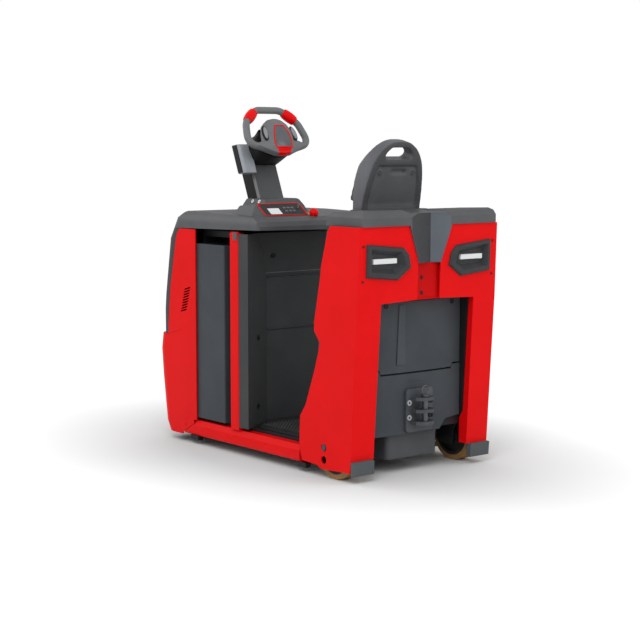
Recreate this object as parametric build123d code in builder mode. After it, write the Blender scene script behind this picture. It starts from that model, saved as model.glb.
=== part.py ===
"""Stand-on electric tow tractor: +X forward, +Y left, +Z up, origin on the floor below the middle."""
import os
from math import cos, radians, sin, sqrt

from build123d import *

# overall sizes, and the width and hood height that the outlines further down are drawn for
length = 1530.0
width = 790.0
rear_overhang = 185.0
front_overhang = 185.0
drawn_width = 790.0
drawn_hood_bottom = 1013.0

# wheels
rear_wheel_d = 230.0
rear_wheel_w = 75.0
rear_tread_t = 22.0
rear_wheel_in = 95.0
drive_wheel_d = 250.0
drive_wheel_w = 80.0
drive_tread_t = 28.0
axle_d = 30.0
running_gap = 0.06
soft_gap = 0.3

# sheet and plate thicknesses
panel_t = 6.0
plate_t = 8.0
joint_gap = 1.0

# step, sill and deck, heights above the floor that it drives on
sill_top = 116.0
sill_bottom = 43.0
sill_w = 50.0
sill_bevel = 12.0
deck_top = 131.0
deck_bottom = 100.0
mat_t = 9.0
mat_margin = 16.0

# stations, each a distance forward of the tail; those in front keep their distance from the nose
foot_panel_end = 398.0
hood_start = length - 840.0
wing_end = length - 762.0
post_start = length - 691.0
wall_station = length - 645.0
battery_start = length - 570.0
hood_rise_end = length - 390.0
fender_start = length - 354.0
bumper_side_start = length - 235.0

# battery bay
battery_l = 223.0
battery_h = 815.0
battery_w = width - 20.0
rail_h = 15.0
rail_w = 40.0
post_l = 62.0
post_w = 36.0
hood_clearance = 67.0
seal_h = 5.0
bay_gap = 12.0

# hood and nose
hood_h = 79.0
hood_wall = 8.0
hood_round = 52.0
hood_drop = 14.0
corner_r = 95.0
bumper_bottom = 38.0
bumper_bulge = 34.0
bumper_t = 8.0

# rear body
rear_rise = 51.0
rear_top_in = 8.0
rear_bend_in = 18.0
rear_foot_in = 58.0
leg_bottom = 94.0
leg_in = 126.0
flange_l = 46.0
foot_block_h = 60.0
rear_hood_h = 65.0
rear_hood_in = 16.0
rear_hood_l = 262.0
valley_half_w = 112.0
valley_depth = 16.0

# hand wheel
wheel_tilt = 30.0
wheel_tube = 34.0

tail = -length / 2
nose = length / 2
side_y = width / 2
rear_axle_x = tail + rear_overhang
steer_x = nose - front_overhang
rear_r = rear_wheel_d / 2
drive_r = drive_wheel_d / 2
battery_bottom = sill_top + rail_h
skin_y = side_y - panel_t
deck_half_w = side_y - sill_w
hood_bottom = battery_bottom + battery_h + hood_clearance
hood_top = hood_bottom + hood_h
post_top = hood_bottom - seal_h
rear_top = hood_bottom + rear_rise
rear_bend = 750.0 * hood_bottom / drawn_hood_bottom
nose_split = 505.0 * hood_bottom / drawn_hood_bottom
rear_hood_top = rear_top + rear_hood_h
leg_inner_y = side_y - leg_in
rear_cheek_y = leg_inner_y - plate_t
rear_wheel_y = side_y - rear_wheel_in

os.makedirs("parts", exist_ok=True)


def save(part, name):
    """Label a finished piece and write it as its own file."""
    part.label = name
    export_step(part, "parts/" + name + ".step")


def at(station):
    """Row X of a station measured forward from the tail."""
    return tail + station


def wide(y):
    """Distance from the centre line, kept in proportion to the width."""
    return y * width / drawn_width


def tall(z):
    """Height, kept in proportion to the hood's lower edge."""
    return z * hood_bottom / drawn_hood_bottom


def prism(plane, points, amount):
    """Solid made by pushing one closed outline along its plane's normal."""
    with BuildPart() as block:
        with BuildSketch(plane):
            with BuildLine():
                Polyline(*points, close=True)
            make_face()
        extrude(amount=amount)
    return block.part


def side_prism(points, y0, y1):
    """Outline of station and height pairs, filled across from y0 to y1."""
    low, high = sorted((y0, y1))
    return prism(Plane.XZ.offset(-high), [(at(s), z) for s, z in points], high - low)


def closed(half):
    """Whole outline from its left half, with a point on the centre line used once."""
    return half + [(-y, z) for y, z in half[::-1] if y]


def box_between(x0, x1, y0, y1, z0, z1):
    """Plain block between two corners."""
    low, high = sorted((y0, y1))
    return prism(Plane.XY.offset(z0), [(x0, low), (x1, low), (x1, high), (x0, high)], z1 - z0)


def station_box(s0, s1, y0, y1, z0, z1):
    """Plain block between two stations."""
    return box_between(at(s0), at(s1), y0, y1, z0, z1)


# floor frame: deck, tongue under the backrest and battery tray, welded
deck_start = foot_panel_end - 40.0
tongue_start = 243.0
wall_t = 12.0
deck_end = wall_station + wall_t + 4.0
bulkhead_front = battery_start + battery_l + bay_gap
with BuildPart() as floor_frame:
    add(station_box(deck_start, deck_end, -deck_half_w, deck_half_w, deck_bottom, deck_top))
    add(station_box(deck_end, bulkhead_front + plate_t, -deck_half_w, deck_half_w, deck_bottom, sill_top))
    add(station_box(tongue_start, deck_start, -rear_cheek_y, rear_cheek_y, deck_bottom, deck_top))
save(floor_frame.part, "floor_frame")

# sills: folded steps along both sides, bevelled above and below, with an end cut under the fender
sill_nose = 20.0
with BuildPart() as side_sills:
    for sign in (1, -1):
        with BuildSketch(Plane.YZ.offset(at(foot_panel_end) + joint_gap)):
            with BuildLine():
                Polyline(
                    (sign * deck_half_w, sill_bottom),
                    (sign * (side_y - sill_bevel), sill_bottom),
                    (sign * side_y, sill_bottom + sill_bevel),
                    (sign * side_y, sill_top - 2 * sill_bevel),
                    (sign * (side_y - sill_bevel), sill_top),
                    (sign * deck_half_w, sill_top),
                    close=True,
                )
            make_face()
        extrude(amount=bumper_side_start - foot_panel_end - 2 * joint_gap)
    add(
        side_prism(
            [(fender_start + sill_nose, sill_top + 1), (fender_start + sill_nose, sill_top - 18),
             (bumper_side_start, sill_bottom), (bumper_side_start, sill_top + 1)],
            -side_y, side_y,
        ),
        mode=Mode.SUBTRACT,
    )
save(side_sills.part, "side_sills")

# moulded rubber mat on the deck
knee_front = foot_panel_end - 20.0
wall_half_w = wide(200)
mat_end = wall_station - 6.0
mat_half = [(knee_front + joint_gap, deck_half_w - mat_margin), (wing_end, deck_half_w - mat_margin),
            (mat_end, wall_half_w - 8)]
with BuildPart() as floor_mat:
    with BuildSketch(Plane.XY.offset(deck_top)) as mat_plan:
        with BuildLine():
            Polyline(*[(at(s), y) for s, y in mat_half + [(s, -y) for s, y in mat_half[::-1]]], close=True)
        make_face()
        fillet(mat_plan.vertices(), 8)
    extrude(amount=mat_t)
save(floor_mat.part, "floor_mat")

# battery frame: posts flush with the sides, two bulkheads and two top rails round the battery bay
bulkhead_rear = wall_station + wall_t
bulkhead_half_w = side_y - 65.0
top_rail_w = 40.0
top_rail_h = 30.0
seal_in = 10.0
with BuildPart() as battery_frame:
    for sign in (1, -1):
        add(station_box(post_start, post_start + post_l, sign * (side_y - post_w), sign * side_y, sill_top,
                        post_top))
        add(station_box(post_start + 4, post_start + post_l - 4, sign * (side_y - seal_in),
                        sign * (side_y - 4), post_top,
                        hood_bottom))
        add(station_box(bulkhead_rear, bulkhead_front + plate_t, sign * (bulkhead_half_w - top_rail_w),
                        sign * bulkhead_half_w, post_top - top_rail_h, post_top))
    half = side_y - post_w
    add(station_box(bulkhead_rear, bulkhead_rear + plate_t, -half, half, deck_top, post_top))
    add(station_box(bulkhead_front, bulkhead_front + plate_t, -bulkhead_half_w, bulkhead_half_w, sill_top,
                    post_top))
save(battery_frame.part, "battery_frame")

# battery on its two slide rails
battery_mid = at(battery_start + battery_l / 2)
with BuildPart() as battery_rails:
    with BuildSketch(Plane.XY.offset(sill_top)):
        with Locations((battery_mid, 0)):
            with GridLocations(battery_l - rail_w, 1, 2, 1):
                Rectangle(rail_w, 2 * deck_half_w)
    extrude(amount=rail_h)
save(battery_rails.part, "battery_rails")

cell_well = 14.0
cell_h = 8.0
cell_gap = 6.0
cell_l = (battery_l - 16.0) / 3
cell_w = (battery_w - 16.0) / 6
with BuildPart() as battery:
    with BuildSketch(Plane.XY.offset(battery_bottom)):
        with Locations((battery_mid, 0)):
            RectangleRounded(battery_l, battery_w, 6)
    extrude(amount=battery_h)
    with BuildSketch(Plane.XY.offset(battery_bottom + battery_h)):
        with Locations((battery_mid, 0)):
            Rectangle(battery_l - 16, battery_w - 16)
    extrude(amount=-cell_well, mode=Mode.SUBTRACT)
    with BuildSketch(Plane.XY.offset(battery_bottom + battery_h - cell_well)):
        with Locations((battery_mid, 0)):
            with GridLocations(cell_l, cell_w, 3, 6):
                Rectangle(cell_l - cell_gap, cell_w - cell_gap)
    extrude(amount=cell_h)
save(battery.part, "battery")

# moulded front wall of the footwell: wings, slanted cheeks, main wall with two beads, top leaning to the rear
wall_top = hood_bottom - 9.0
wall_lean = 45.0
lean_start = tall(830)
bead_r = 5.0
wing_y = side_y - 2.0
cheek_run = wall_station - wing_end
cheek_span = wing_y - wall_half_w
cheek_shift = wall_t * sqrt(cheek_run**2 + cheek_span**2) / cheek_span
wing_in = wing_end + cheek_shift + wall_t * cheek_run / cheek_span
wall_in_y = wing_y - (wall_station + wall_t - wing_end - cheek_shift) * cheek_span / cheek_run
wall_h = wall_top - deck_top
wall_strip = [
    (post_start - joint_gap, wing_y), (wing_end, wing_y), (wall_station, wall_half_w),
    (wall_station + wall_t, wall_in_y), (wing_in, wing_y - wall_t), (post_start - joint_gap, wing_y - wall_t),
]
wall_reach = [
    (wing_end + 8, wing_y), (wall_station + 6, wall_half_w), (wall_station + 6, -wall_half_w),
    (wing_end + 8, -wing_y),
]
lean_station = wall_station - wall_lean
wall_side = [
    (wall_station, deck_top), (wall_station, lean_start), (lean_station, wall_top - 12),
    (lean_station, wall_top),
    (lean_station + wall_t, wall_top), (lean_station + wall_t, wall_top - 12),
    (wall_station + wall_t, lean_start),
    (wall_station + wall_t, deck_top),
]
with BuildPart() as footwell_wall:
    add(side_prism(wall_side, -wing_y, wing_y))
    add(prism(Plane.XY.offset(deck_top), [(at(s), y) for s, y in wall_reach], wall_h), mode=Mode.INTERSECT)
    add(side_prism(wall_side[:2] + wall_side[-2:], -wall_in_y, wall_in_y))
    for sign in (1, -1):
        add(prism(Plane.XY.offset(deck_top), [(at(s), sign * y) for s, y in wall_strip], wall_h))
    for height in (tall(560), tall(802)):
        add(side_prism([(wall_station + 1, height - bead_r), (wall_station - bead_r, height - 2),
                        (wall_station - bead_r, height + 2), (wall_station + 1, height + bead_r)],
                       2 - wall_half_w, wall_half_w - 2))
save(footwell_wall.part, "footwell_wall")

# front body: rounded plans stacked up the leaning nose, then cut by the side view and the cross section
front_tip = nose - bumper_bulge
front_lean = [(0, 0), (0, tall(620)), (7, tall(692)), (52, hood_top - 130), (115, hood_top - 30),
              (193, hood_top + 6)]


def rounded_plan(z, rear_x, tip_x, inset, rear_r):
    """Plan of the front body at one height, pointed forward with round corners, ready to be lofted."""
    with BuildSketch(Plane.XY.offset(z)) as plan:
        with Locations(((rear_x + tip_x) / 2, 0)):
            Rectangle(tip_x - rear_x, width - 2 * inset)
        fillet(plan.vertices().group_by(Axis.X)[-1], corner_r - inset)
        if rear_r > 0:
            fillet(plan.vertices().group_by(Axis.X)[0], rear_r)
    return plan.sketch


def front_body(inset, rear_r):
    """Front body, moved in by inset on its top, sides, front and rear; rear_r rounds its rear corners in plan."""
    with BuildPart() as body:
        loft(
            [rounded_plan(max(z - inset, 0), at(hood_start) + inset, front_tip - back - inset, inset, rear_r)
             for back, z in front_lean],
            ruled=True,
        )
        with BuildSketch(Plane.XZ.offset(-side_y)):
            with BuildLine():
                Polyline(
                    (at(hood_start), 0),
                    (at(hood_start), hood_top - hood_round),
                    (at(hood_start) + 12 + inset, hood_top - hood_drop - 18 - inset),
                    (at(hood_start) + hood_round, hood_top - hood_drop - inset),
                    (at(hood_rise_end), hood_top - inset),
                    (front_tip - 180, hood_top - inset),
                    (front_tip - 100 - inset, hood_top - 22 - inset),
                    (nose, hood_top - 112 - inset),
                    (nose, 0),
                    close=True,
                )
            make_face()
        extrude(amount=width, mode=Mode.INTERSECT)
        with BuildSketch(Plane.YZ.offset(at(hood_start))) as section:
            Rectangle(width - 2 * inset, 2 * (hood_top - inset))
            fillet(section.vertices().group_by(Axis.Z)[-1], hood_round - inset / 2)
        extrude(amount=nose - at(hood_start), mode=Mode.INTERSECT)
    return body.part


outer_body = front_body(0, 18)
inner_body = front_body(hood_wall, 0)

# hood: the top of the front body, open below
with BuildPart() as front_hood:
    add(outer_body)
    add(inner_body, mode=Mode.SUBTRACT)
    add(station_box(hood_start - 5, length + 5, -side_y - 5, side_y + 5, 0, hood_bottom), mode=Mode.SUBTRACT)
save(front_hood.part, "front_hood")

# nose: the front of the body below the hood, round both corners; each row is (behind the nose, height)
fender_curve = [
    (226, hood_bottom - 2 * joint_gap),
    (206, tall(992)),
    (193, tall(957)),
    (172, tall(864)),
    (143, tall(724)),
    (127, tall(569)),
    (123, nose_split),
]
fender_front = [(length - back, z) for back, z in fender_curve]
nose_zone = side_prism(
    [(s + joint_gap, z) for s, z in fender_front]
    + [(length + 5, nose_split), (length + 5, hood_bottom - joint_gap),
       (fender_front[0][0] + joint_gap, hood_bottom - joint_gap)],
    -side_y - 5, side_y + 5,
)
with BuildPart() as nose_panel:
    add(outer_body)
    add(inner_body, mode=Mode.SUBTRACT)
    add(nose_zone, mode=Mode.INTERSECT)
save(nose_panel.part, "nose_panel")

# fenders: flat side panels with a bank of slanted louvre slots that steps back as it rises
slot_count = 9
slot_pitch = 13.0
slot_step = 3.7
slot_h = 7.0
slot_w = 50.0
slot_slant = 14.0
slot_base = tall(625)
slot_station = length - 256.0
bumper_rise = 33.0
for side, sign in (("left", 1), ("right", -1)):
    with BuildPart() as front_fender:
        add(side_prism(
            [(fender_start, hood_bottom - 2 * joint_gap)] + fender_front
            + [(bumper_side_start, nose_split + bumper_rise), (bumper_side_start, sill_bottom + 2),
               (fender_start + sill_nose + 2, sill_top - 17), (fender_start + sill_nose + 2, sill_top + 2),
               (fender_start, sill_top + 2)],
            sign * skin_y, sign * side_y,
        ))
        for row in range(slot_count):
            mid = slot_station - slot_step * row
            low = slot_base + slot_pitch * row - slot_slant / 2
            add(
                side_prism(
                    [(mid - slot_w / 2, low + slot_slant), (mid + slot_w / 2, low),
                     (mid + slot_w / 2, low + slot_h), (mid - slot_w / 2, low + slot_slant + slot_h)],
                    sign * (skin_y - 1), sign * (side_y + 1),
                ),
                mode=Mode.SUBTRACT,
            )
    save(front_fender.part, "front_fender_" + side)

# bumper: thick wrap round the nose below the split, its foot raked, with a ledge inwards under the nose
bumper_top = nose_split + bumper_rise
bumper_lip = 14.0
bumper_lean = [
    (71, bumper_bottom), (43, 87), (36, 129), (12, tall(300)), (0, tall(430)),
    (bumper_lip, nose_split + 6), (bumper_lip, bumper_top),
]
with BuildPart() as front_bumper:
    for mode, inset, spare in ((Mode.ADD, 0.0, 0.0), (Mode.SUBTRACT, bumper_t, 5.0)):
        rows = (
            [(bumper_lean[0][0] + spare, bumper_lean[0][1] - spare)] + bumper_lean[1:-1]
            + [(bumper_lip, bumper_top + spare)]
        )
        loft(
            [rounded_plan(z, at(bumper_side_start) - inset, nose - back - inset, inset, 0)
             for back, z in rows],
            ruled=True,
            mode=mode,
        )
    add(
        side_prism(
            [(bumper_side_start - 5, bumper_top + 5), (bumper_side_start - 5, bumper_top),
             (fender_front[-1][0], nose_split - joint_gap),
             (length + 5, nose_split - joint_gap), (length + 5, bumper_top + 5)],
            -side_y - 5, side_y + 5,
        ),
        mode=Mode.SUBTRACT,
    )
    with BuildSketch(Plane.XY.offset(nose_split - plate_t)):
        add(rounded_plan(0, nose - corner_r - 20, nose - bumper_lip, 0, 0))
        add(rounded_plan(0, nose - corner_r - 40, front_tip - 8, bumper_t, 0), mode=Mode.SUBTRACT)
    extrude(amount=plate_t)
save(front_bumper.part, "front_bumper")

# front subframe: cheeks beside the drive wheel, the plate with the steering bearing, arms to the fenders
cheek_y = 158.0
cheek_t = 10.0
bearing_plate_z = 330.0
bearing_plate_t = 12.0
bearing_bore_d = 190.0
arm_bottom = 150.0
subframe_start = bulkhead_front + plate_t
subframe_end = length - bumper_bulge - 24.0
with BuildPart() as front_subframe:
    for sign in (1, -1):
        add(side_prism(
            [(subframe_start, 60), (subframe_start, bearing_plate_z + bearing_plate_t),
             (subframe_end, bearing_plate_z + bearing_plate_t), (subframe_end, arm_bottom),
             (subframe_end - 60, 60)],
            sign * cheek_y, sign * (cheek_y + cheek_t),
        ))
        add(station_box(subframe_start + 10, subframe_start + 70, sign * (cheek_y + cheek_t), sign * skin_y,
                        arm_bottom, arm_bottom + 40))
    with BuildSketch(Plane.XY.offset(bearing_plate_z)):
        with Locations(((at(subframe_start) + at(subframe_end)) / 2, 0)):
            Rectangle(subframe_end - subframe_start, 2 * cheek_y + 2 * cheek_t)
        with Locations((steer_x, 0)):
            Circle(bearing_bore_d / 2, mode=Mode.SUBTRACT)
    extrude(amount=bearing_plate_t)
save(front_subframe.part, "front_subframe")

# drive unit: motor on the plate, steered gearbox leg below it, wheel on its axle
motor_d = 200.0
motor_h = 260.0
motor_flange_t = 14.0
leg_gap = 8.0
leg_t = 44.0
leg_y = drive_wheel_w / 2 + leg_gap
leg_top = drive_wheel_d + 20.0
with BuildPart() as drive_motor:
    with BuildSketch(Plane.XY.offset(bearing_plate_z + bearing_plate_t)):
        with Locations((steer_x, 0)):
            Circle(motor_d / 2 + 20)
    extrude(amount=motor_flange_t)
    with BuildSketch(Plane.XY.offset(bearing_plate_z + bearing_plate_t + motor_flange_t)):
        with Locations((steer_x, 0)):
            Circle(motor_d / 2)
    extrude(amount=motor_h)
    fillet(drive_motor.edges().group_by(Axis.Z)[-1], 12)
save(drive_motor.part, "drive_motor")

with BuildPart() as drive_leg:
    with BuildSketch(Plane.XY.offset(leg_top)):
        with Locations((steer_x, 0)):
            Circle(bearing_bore_d / 2 - running_gap)
    extrude(amount=bearing_plate_z + bearing_plate_t - 5 - leg_top)
    with BuildSketch(Plane.XZ.offset(-leg_y)):
        with BuildLine():
            Polyline(
                (steer_x - 62, leg_top + 10), (steer_x - 50, drive_r), (steer_x - 30, drive_r - 45),
                (steer_x + 30, drive_r - 45), (steer_x + 50, drive_r), (steer_x + 62, leg_top + 10),
                close=True,
            )
        make_face()
    extrude(amount=-leg_t)
    with BuildSketch(Plane.XZ.offset(-leg_y)):
        with Locations((steer_x, drive_r)):
            Circle(axle_d / 2)
    extrude(amount=drive_wheel_w + leg_gap)
save(drive_leg.part, "drive_leg")


def wheel(x, z, y_in, y_out, radius, tread_t):
    """Hub with a stepped web, and the tread round it, between two distances from the centre line."""
    low, high = sorted((y_in, y_out))
    with BuildPart() as hub:
        with BuildSketch(Plane.XZ.offset(-high)):
            with Locations((x, z)):
                Circle(radius - tread_t)
                Circle(axle_d / 2 + running_gap, mode=Mode.SUBTRACT)
        extrude(amount=high - low)
        for face_y, depth in ((high, web_depth), (low, -web_depth)):
            with BuildSketch(Plane.XZ.offset(-face_y)):
                with Locations((x, z)):
                    Circle(radius - tread_t - 14)
                    Circle(axle_d / 2 + 16, mode=Mode.SUBTRACT)
            extrude(amount=depth, mode=Mode.SUBTRACT)
    with BuildPart() as tyre:
        with BuildSketch(Plane.XZ.offset(-high)):
            with Locations((x, z)):
                Circle(radius)
                Circle(radius - tread_t, mode=Mode.SUBTRACT)
        extrude(amount=high - low)
        rims = tyre.edges().filter_by(GeomType.CIRCLE).sort_by(SortBy.RADIUS)[-2:]
        fillet(rims, 5)
    return hub.part, tyre.part


web_depth = 14.0
hub_part, tyre_part = wheel(steer_x, drive_r, -drive_wheel_w / 2, drive_wheel_w / 2, drive_r, drive_tread_t)
save(hub_part, "drive_hub")
save(tyre_part, "drive_tyre")
for side, sign in (("left", 1), ("right", -1)):
    hub_part, tyre_part = wheel(
        rear_axle_x, rear_r, sign * rear_wheel_y, sign * (rear_wheel_y + rear_wheel_w), rear_r, rear_tread_t
    )
    save(hub_part, "rear_hub_" + side)
    save(tyre_part, "rear_tyre_" + side)

# rear side panels: side sheet with two holes, folded rear face with the lamp panel, the leg's inner flange
side_outline = [
    (rear_top_in, rear_top), (192, rear_top), (209, rear_top - 25), (251, tall(892)), (259, tall(837)),
    (297, tall(657)),
    (297, tall(619)), (260, tall(574)), (267, tall(538)), (293, tall(458)), (354, tall(301)),
    (393, tall(246)),
    (foot_panel_end, 136), (foot_panel_end, 110), (380, 55), (278, 50), (251, 37), (102, 45),
    (rear_foot_in + 6, 45),
    (rear_foot_in, leg_bottom), (rear_bend_in, rear_bend),
]
cover_back = 98.0
panel_hole_station = 233.0
panel_hole_d = 34.0
rear_face = [(rear_top_in, rear_top), (rear_bend_in, rear_bend), (rear_foot_in, leg_bottom)]
rear_sheet = rear_face + [(s + panel_t, z) for s, z in reversed(rear_face)]
notch_y = wide(64)
notch_top = rear_top - 153.0
rear_outline = [
    (side_y, rear_top), (wide(118), rear_top), (wide(118), rear_top - 6), (notch_y, notch_top),
    (notch_y, rear_bend + 2),
    (leg_inner_y - 4, rear_bend - 5), (leg_inner_y, leg_bottom), (side_y, leg_bottom),
]
flange = [
    (rear_bend_in, rear_bend - 6), (rear_foot_in, leg_bottom),
    (rear_foot_in + flange_l, leg_bottom), (cover_back, rear_bend - 6),
]
rear_lean = (rear_bend_in - rear_top_in) / (rear_top - rear_bend)
rear_plane = Plane(origin=(at(rear_top_in), 0, rear_top), x_dir=(0, 1, 0), z_dir=(1, 0, rear_lean))


def on_rear(points, sign):
    """Outline of distances out from the centre line and down from the top edge, on the leaning rear face."""
    return [(sign * wide(y), -down) for y, down in points]


bezel_outline = [(353, 69), (353, 208), (180, 225), (108, 174), (120, 119), (150, 89)]
bezel_hole = [(342, 80), (342, 196), (186, 211), (124, 168), (132, 128), (156, 100)]
for side, sign in (("left", 1), ("right", -1)):
    with BuildPart() as rear_side:
        add(side_prism(rear_sheet, -side_y, side_y))
        add(prism(Plane.YZ.offset(tail - 5), [(sign * y, z) for y, z in rear_outline], 120),
            mode=Mode.INTERSECT)
        add(prism(rear_plane.offset(-10), on_rear(bezel_hole, sign), 60), mode=Mode.SUBTRACT)
        add(side_prism(side_outline, sign * skin_y, sign * side_y))
        add(side_prism(flange, sign * leg_inner_y, sign * (leg_inner_y + panel_t)))
        with BuildSketch(Plane.XZ.offset(-sign * (side_y + 1))):
            with Locations((at(panel_hole_station), 130), (at(panel_hole_station), 78)):
                Circle(panel_hole_d / 2)
        extrude(amount=sign * (panel_t + 2), mode=Mode.SUBTRACT)
    save(rear_side.part, "rear_side_" + side)

# lamp bezels, each a moulded frame sunk into its panel, and the white lamp bars in them
bezel_t = 8.0
bezel_depth = 26.0
bezel_floor = 5.0
bar_t = 20.0
bezel_body = [(340, 82), (340, 194), (187, 209), (126, 167), (134, 129), (157, 102)]
bezel_recess = [(326, 96), (326, 180), (193, 192), (152, 162), (160, 134), (172, 114)]
lamp_bar = [(182, 154), (312, 154), (312, 132), (182, 132)]
with BuildPart() as lamp_bezels:
    for sign in (1, -1):
        add(prism(rear_plane.offset(-bezel_t), on_rear(bezel_outline, sign), bezel_t))
        add(prism(rear_plane, on_rear(bezel_body, sign), bezel_depth))
        add(
            prism(rear_plane.offset(-bezel_t), on_rear(bezel_recess, sign),
                  bezel_depth + bezel_t - bezel_floor),
            mode=Mode.SUBTRACT,
        )
save(lamp_bezels.part, "lamp_bezels")

with BuildPart() as lamp_bars:
    for sign in (1, -1):
        add(prism(rear_plane.offset(bezel_depth - bezel_floor - bar_t), on_rear(lamp_bar, sign), bar_t))
save(lamp_bars.part, "lamp_bars")

# rear frame: cheeks inside the wheels with the axle stubs, cross plates, tow plate and the covers' strips
stub_end = rear_wheel_y + rear_wheel_w + 3.0
cross_front = tongue_start - plate_t
cover_mid = 88.0
frame_top = rear_bend - 50.0
cheek = [
    (80, 240), (rear_overhang - 50, arm_bottom), (rear_overhang - 40, rear_r - 35),
    (rear_overhang + 40, rear_r - 35),
    (tongue_start, deck_bottom), (deck_start - 10, deck_bottom), (deck_start - 10, deck_top),
    (tongue_start, 300),
    (tongue_start, frame_top), (100, frame_top), (100, rear_bend), (50, rear_bend),
]
with BuildPart() as rear_frame:
    for sign in (1, -1):
        add(side_prism(cheek, sign * rear_cheek_y, sign * leg_inner_y))
        with BuildSketch(Plane.XZ.offset(-sign * rear_cheek_y)):
            with Locations((rear_axle_x, rear_r)):
                Circle(axle_d / 2)
        extrude(amount=-sign * (stub_end - rear_cheek_y))
        with BuildSketch(Plane.XZ.offset(-sign * leg_inner_y)):
            with Locations((rear_axle_x, rear_r)):
                Circle(axle_d / 2 + 12)
        extrude(amount=-sign * (rear_wheel_y - 5 - leg_inner_y))
        add(station_box(cover_back, 112, sign * (rear_cheek_y - 21), sign * rear_cheek_y, 222, rear_bend - 8))
    add(station_box(104, 112, -rear_cheek_y, rear_cheek_y, 180, 420))
    add(station_box(cover_mid, 104, -76, 76, 186, 372))
    add(station_box(cross_front, tongue_start, -rear_cheek_y, rear_cheek_y, deck_bottom, frame_top))
    add(station_box(112, cross_front, -rear_cheek_y, rear_cheek_y, frame_top - plate_t, frame_top))
save(rear_frame.part, "rear_frame")

# feet under the two rear legs
foot_y = leg_inner_y + 10.0
with BuildPart() as foot_blocks:
    for sign in (1, -1):
        add(side_prism([(38, leg_bottom), (42, leg_bottom - foot_block_h),
                        (rear_foot_in, leg_bottom - foot_block_h),
                        (rear_foot_in + 12, leg_bottom - 30), (rear_foot_in + 12, leg_bottom)],
                       sign * foot_y, sign * skin_y))
        add(side_prism([(38, leg_bottom), (42, leg_bottom - foot_block_h),
                        (rear_foot_in, leg_bottom - foot_block_h),
                        (rear_foot_in, leg_bottom)], sign * skin_y, sign * side_y))
save(foot_blocks.part, "foot_blocks")

# red cross beam between the lamp panels, folded to a shallow valley, its lower flange on the frame's cheeks
hood_skirt = rear_top - 159.0
beam_in = 30.0
beam_h = 94.0
beam_neck = 104.0
beam_half = [(beam_in, rear_cheek_y), (beam_in, 70), (beam_in + 10, 0)]
beam_back = [(beam_in + panel_t, rear_cheek_y), (beam_in + panel_t, 72), (beam_in + panel_t + 10, 0)]
with BuildPart() as rear_crossbeam:
    add(prism(
        Plane.XY.offset(rear_bend + panel_t),
        [(at(s), y) for s, y in beam_half + [(s, -y) for s, y in beam_half[1::-1]]
         + [(s, -y) for s, y in beam_back[:2]] + beam_back[::-1]],
        hood_skirt - rear_bend - panel_t,
    ))
    add(
        prism(
            Plane.YZ.offset(tail),
            closed([(0, rear_bend + panel_t), (rear_cheek_y, rear_bend + panel_t),
                    (rear_cheek_y, rear_bend + beam_h),
                    (beam_neck, rear_bend + beam_h), (beam_neck, hood_skirt), (0, hood_skirt)]),
            100,
        ),
        mode=Mode.INTERSECT,
    )
    add(station_box(beam_in, 100, -leg_inner_y, leg_inner_y, rear_bend, rear_bend + panel_t))
save(rear_crossbeam.part, "rear_crossbeam")

# rear hood: two raised shoulders, a valley down to the cross beam and a pedestal under the backrest
shoulder_z = 14.0
shoulder_y = side_y - rear_hood_in
pedestal_w = 380.0
pedestal_top = rear_hood_top - 6.0 - soft_gap
with BuildPart() as rear_hood:
    add(side_prism(
        [(0, hood_skirt), (0, rear_hood_top - 30), (8, rear_hood_top - 8), (22, rear_hood_top),
         (rear_hood_l - 60, rear_hood_top - 6), (rear_hood_l - 30, rear_hood_top - 20),
         (rear_hood_l - 20, rear_top - 10),
         (60, rear_top - 10), (60, hood_skirt)],
        -side_y, side_y,
    ))
    add(
        prism(
            Plane.YZ.offset(tail),
            closed([(0, rear_hood_top - shoulder_z), (wide(118), rear_hood_top - shoulder_z),
                    (wide(150), rear_hood_top),
                    (shoulder_y - 26, rear_hood_top), (shoulder_y - 8, rear_hood_top - 10),
                    (shoulder_y, rear_hood_top - 28), (shoulder_y, rear_top), (wide(118), rear_top),
                    (wide(118) - 1, rear_top - 7),
                    (notch_y - 1, notch_top), (notch_y - 1, hood_skirt)]),
            rear_hood_l,
        ),
        mode=Mode.INTERSECT,
    )
    add(
        prism(Plane.XY.offset(hood_skirt - 5), [(at(0), valley_half_w), (at(0), -valley_half_w),
                                                (at(valley_depth), 0)], 300),
        mode=Mode.SUBTRACT,
    )
    add(side_prism(
        [(150, pedestal_top - 8), (240, pedestal_top), (306, pedestal_top), (314, pedestal_top - 14),
         (300, rear_top - 6),
         (226, rear_top - 12), (150, rear_top - 4)],
        -pedestal_w / 2, pedestal_w / 2,
    ))
save(rear_hood.part, "rear_hood")

# knee panel: the moulded rear wall of the footwell, standing on the deck
knee_t = 12.0
knee_line = [
    (rear_hood_l - 40, rear_top - 14), (253, rear_top - 182), (281, tall(657)), (281, tall(619)),
    (277, tall(458)),
    (330, tall(301)), (knee_front, 200), (knee_front, deck_top),
]
with BuildPart() as knee_panel:
    add(side_prism(knee_line + [(s - knee_t, z) for s, z in reversed(knee_line)], -skin_y, skin_y))
save(knee_panel.part, "knee_panel")

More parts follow.
